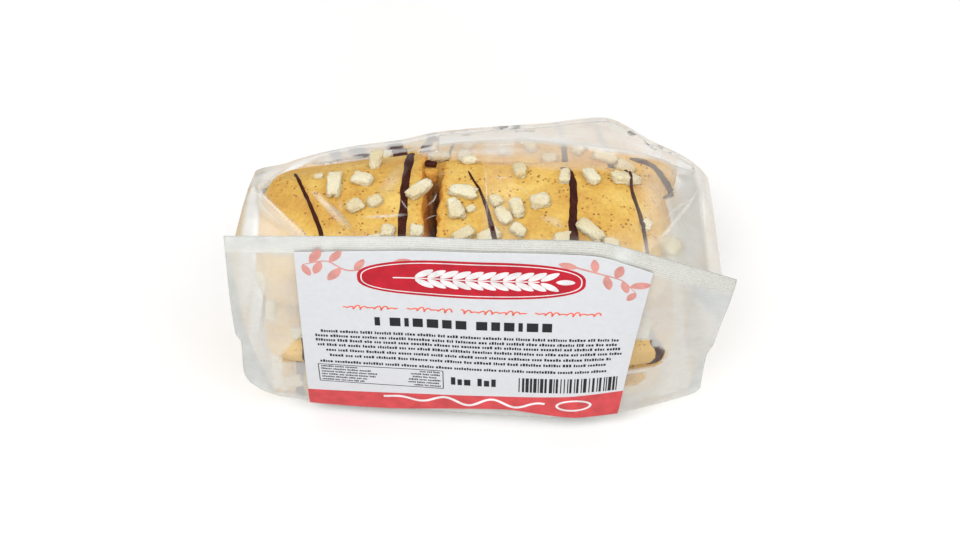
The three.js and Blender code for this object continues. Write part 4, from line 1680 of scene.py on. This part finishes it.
def make_print():
    """Everything printed on the label, by colour."""
    rng = np.random.default_rng(5)
    prints = {name: Heap() for name in INKS}
    black, white = prints["print_black"], prints["print_white"]
    print_oval(prints["print_plaque"], *PLAQUE, PLAQUE_SIZE, PLAQUE_POWER, layer=1)
    inner = oval_path(PLAQUE, PLAQUE_LINE[:2], PLAQUE_POWER)
    print_stroke(white, *inner, PLAQUE_LINE[2], layer=2, closed=True)
    print_ear(white)
    print_wavy_words(prints["print_coral"])
    print_bar_words(black)
    for start, end, level in BLOCK_LINES:
        print_line_of_blocks(black, (start, end), level, 1.0, rng)
    print_line_of_blocks(black, *LAST_LINE, rng, word=(5, 12))
    print_line_of_blocks(black, *WEIGHT_BLOCKS, rng, word=(3, 4))
    print_table(black, rng)
    print_code(black, rng)
    print_field(prints["print_band"], (72, 9), band_place)
    start, end, level, height = BAND_WAVE
    along = np.linspace(start, end, 120)
    wave = level + height * np.sin(along * 0.42) * np.cos(along * 0.05)
    print_stroke(white, along, wave, 1.0, layer=1)
    print_stroke(white, *oval_path(*BAND_RING), 0.8, layer=1, closed=True)
    for sprig in SPRIGS:
        print_sprig(prints["print_sprigs"], *sprig)
    for name, heap in prints.items():
        heap.make(name, ink_material(name, INKS[name]), "label_ink", smooth=False)


label_corners, label_faces = box_grid(96, 1, 60)
label_mm = label_points(label_corners)
sheet = new_piece("label_sheet", label_mm, label_faces, paper_material(), smooth=False)
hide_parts("label")
make_print()

# ---------------------------------------------------------------- the stage
CAMERA_PLACE = (0.936, -363.6, 464.1)  # millimetres, in the frame
CAMERA_PITCH = 50.0  # degrees below the horizon
CAMERA_LENS = 66.9
FLOOR_REACH = 4.0  # metres each way
FLOOR_LEVEL = -0.0003
LAMP_AIM = (0, 0, 0.04)
LAMPS = {  # place and size in metres, and power
    "key": ((-0.35, -0.45, 1.0), (0.7, 0.5), 6.4),
    "fill": ((0.6, -0.3, 0.9), (0.6, 0.6), 2.6),
    "back": ((0.1, 0.7, 0.7), (0.8, 0.3), 1.6),
    "front": ((0.2, -0.9, 0.25), (0.9, 0.4), 2.1),
}
WORLD_STRENGTH = 0.5


def add_to_scene(name, data):
    thing = bpy.data.objects.new(name, data)
    bpy.context.scene.collection.objects.link(thing)
    return thing


def make_floor():
    mesh = bpy.data.meshes.new("floor")
    ways = ((-1, -1), (1, -1), (1, 1), (-1, 1))
    corners = [(x * FLOOR_REACH, y * FLOOR_REACH, FLOOR_LEVEL) for x, y in ways]
    mesh.from_pydata(corners, [], [(0, 1, 2, 3)])
    mesh.materials.append(floor_material())
    return add_to_scene("floor", mesh)


def make_camera():
    camera = add_to_scene("camera", bpy.data.cameras.new("camera"))
    camera.data.lens = CAMERA_LENS
    camera.data.sensor_width = 36.0
    camera.data.clip_start = 0.01
    camera.location = [value / 1000 for value in CAMERA_PLACE]
    camera.rotation_euler = (math.radians(90 - CAMERA_PITCH), 0, 0)
    return camera


def make_lamp(name, place, size, power):
    light = bpy.data.lights.new(name, "AREA")
    light.shape = "RECTANGLE"
    light.size, light.size_y = size
    light.energy = power
    lamp = add_to_scene(name, light)
    lamp.location = place
    lamp.rotation_euler = (Vector(LAMP_AIM) - Vector(place)).to_track_quat("-Z", "Y").to_euler()


def make_world():
    world = bpy.data.worlds.new("world")
    world.use_nodes = True
    background = world.node_tree.nodes["Background"].inputs
    background["Color"].default_value = (1, 1, 1, 1)
    background["Strength"].default_value = WORLD_STRENGTH
    return world


floor = make_floor()
scene = bpy.context.scene
scene.camera = make_camera()
for lamp_name, lamp_values in LAMPS.items():
    make_lamp(lamp_name, *lamp_values)
scene.world = make_world()
scene.view_settings.view_transform = "Standard"
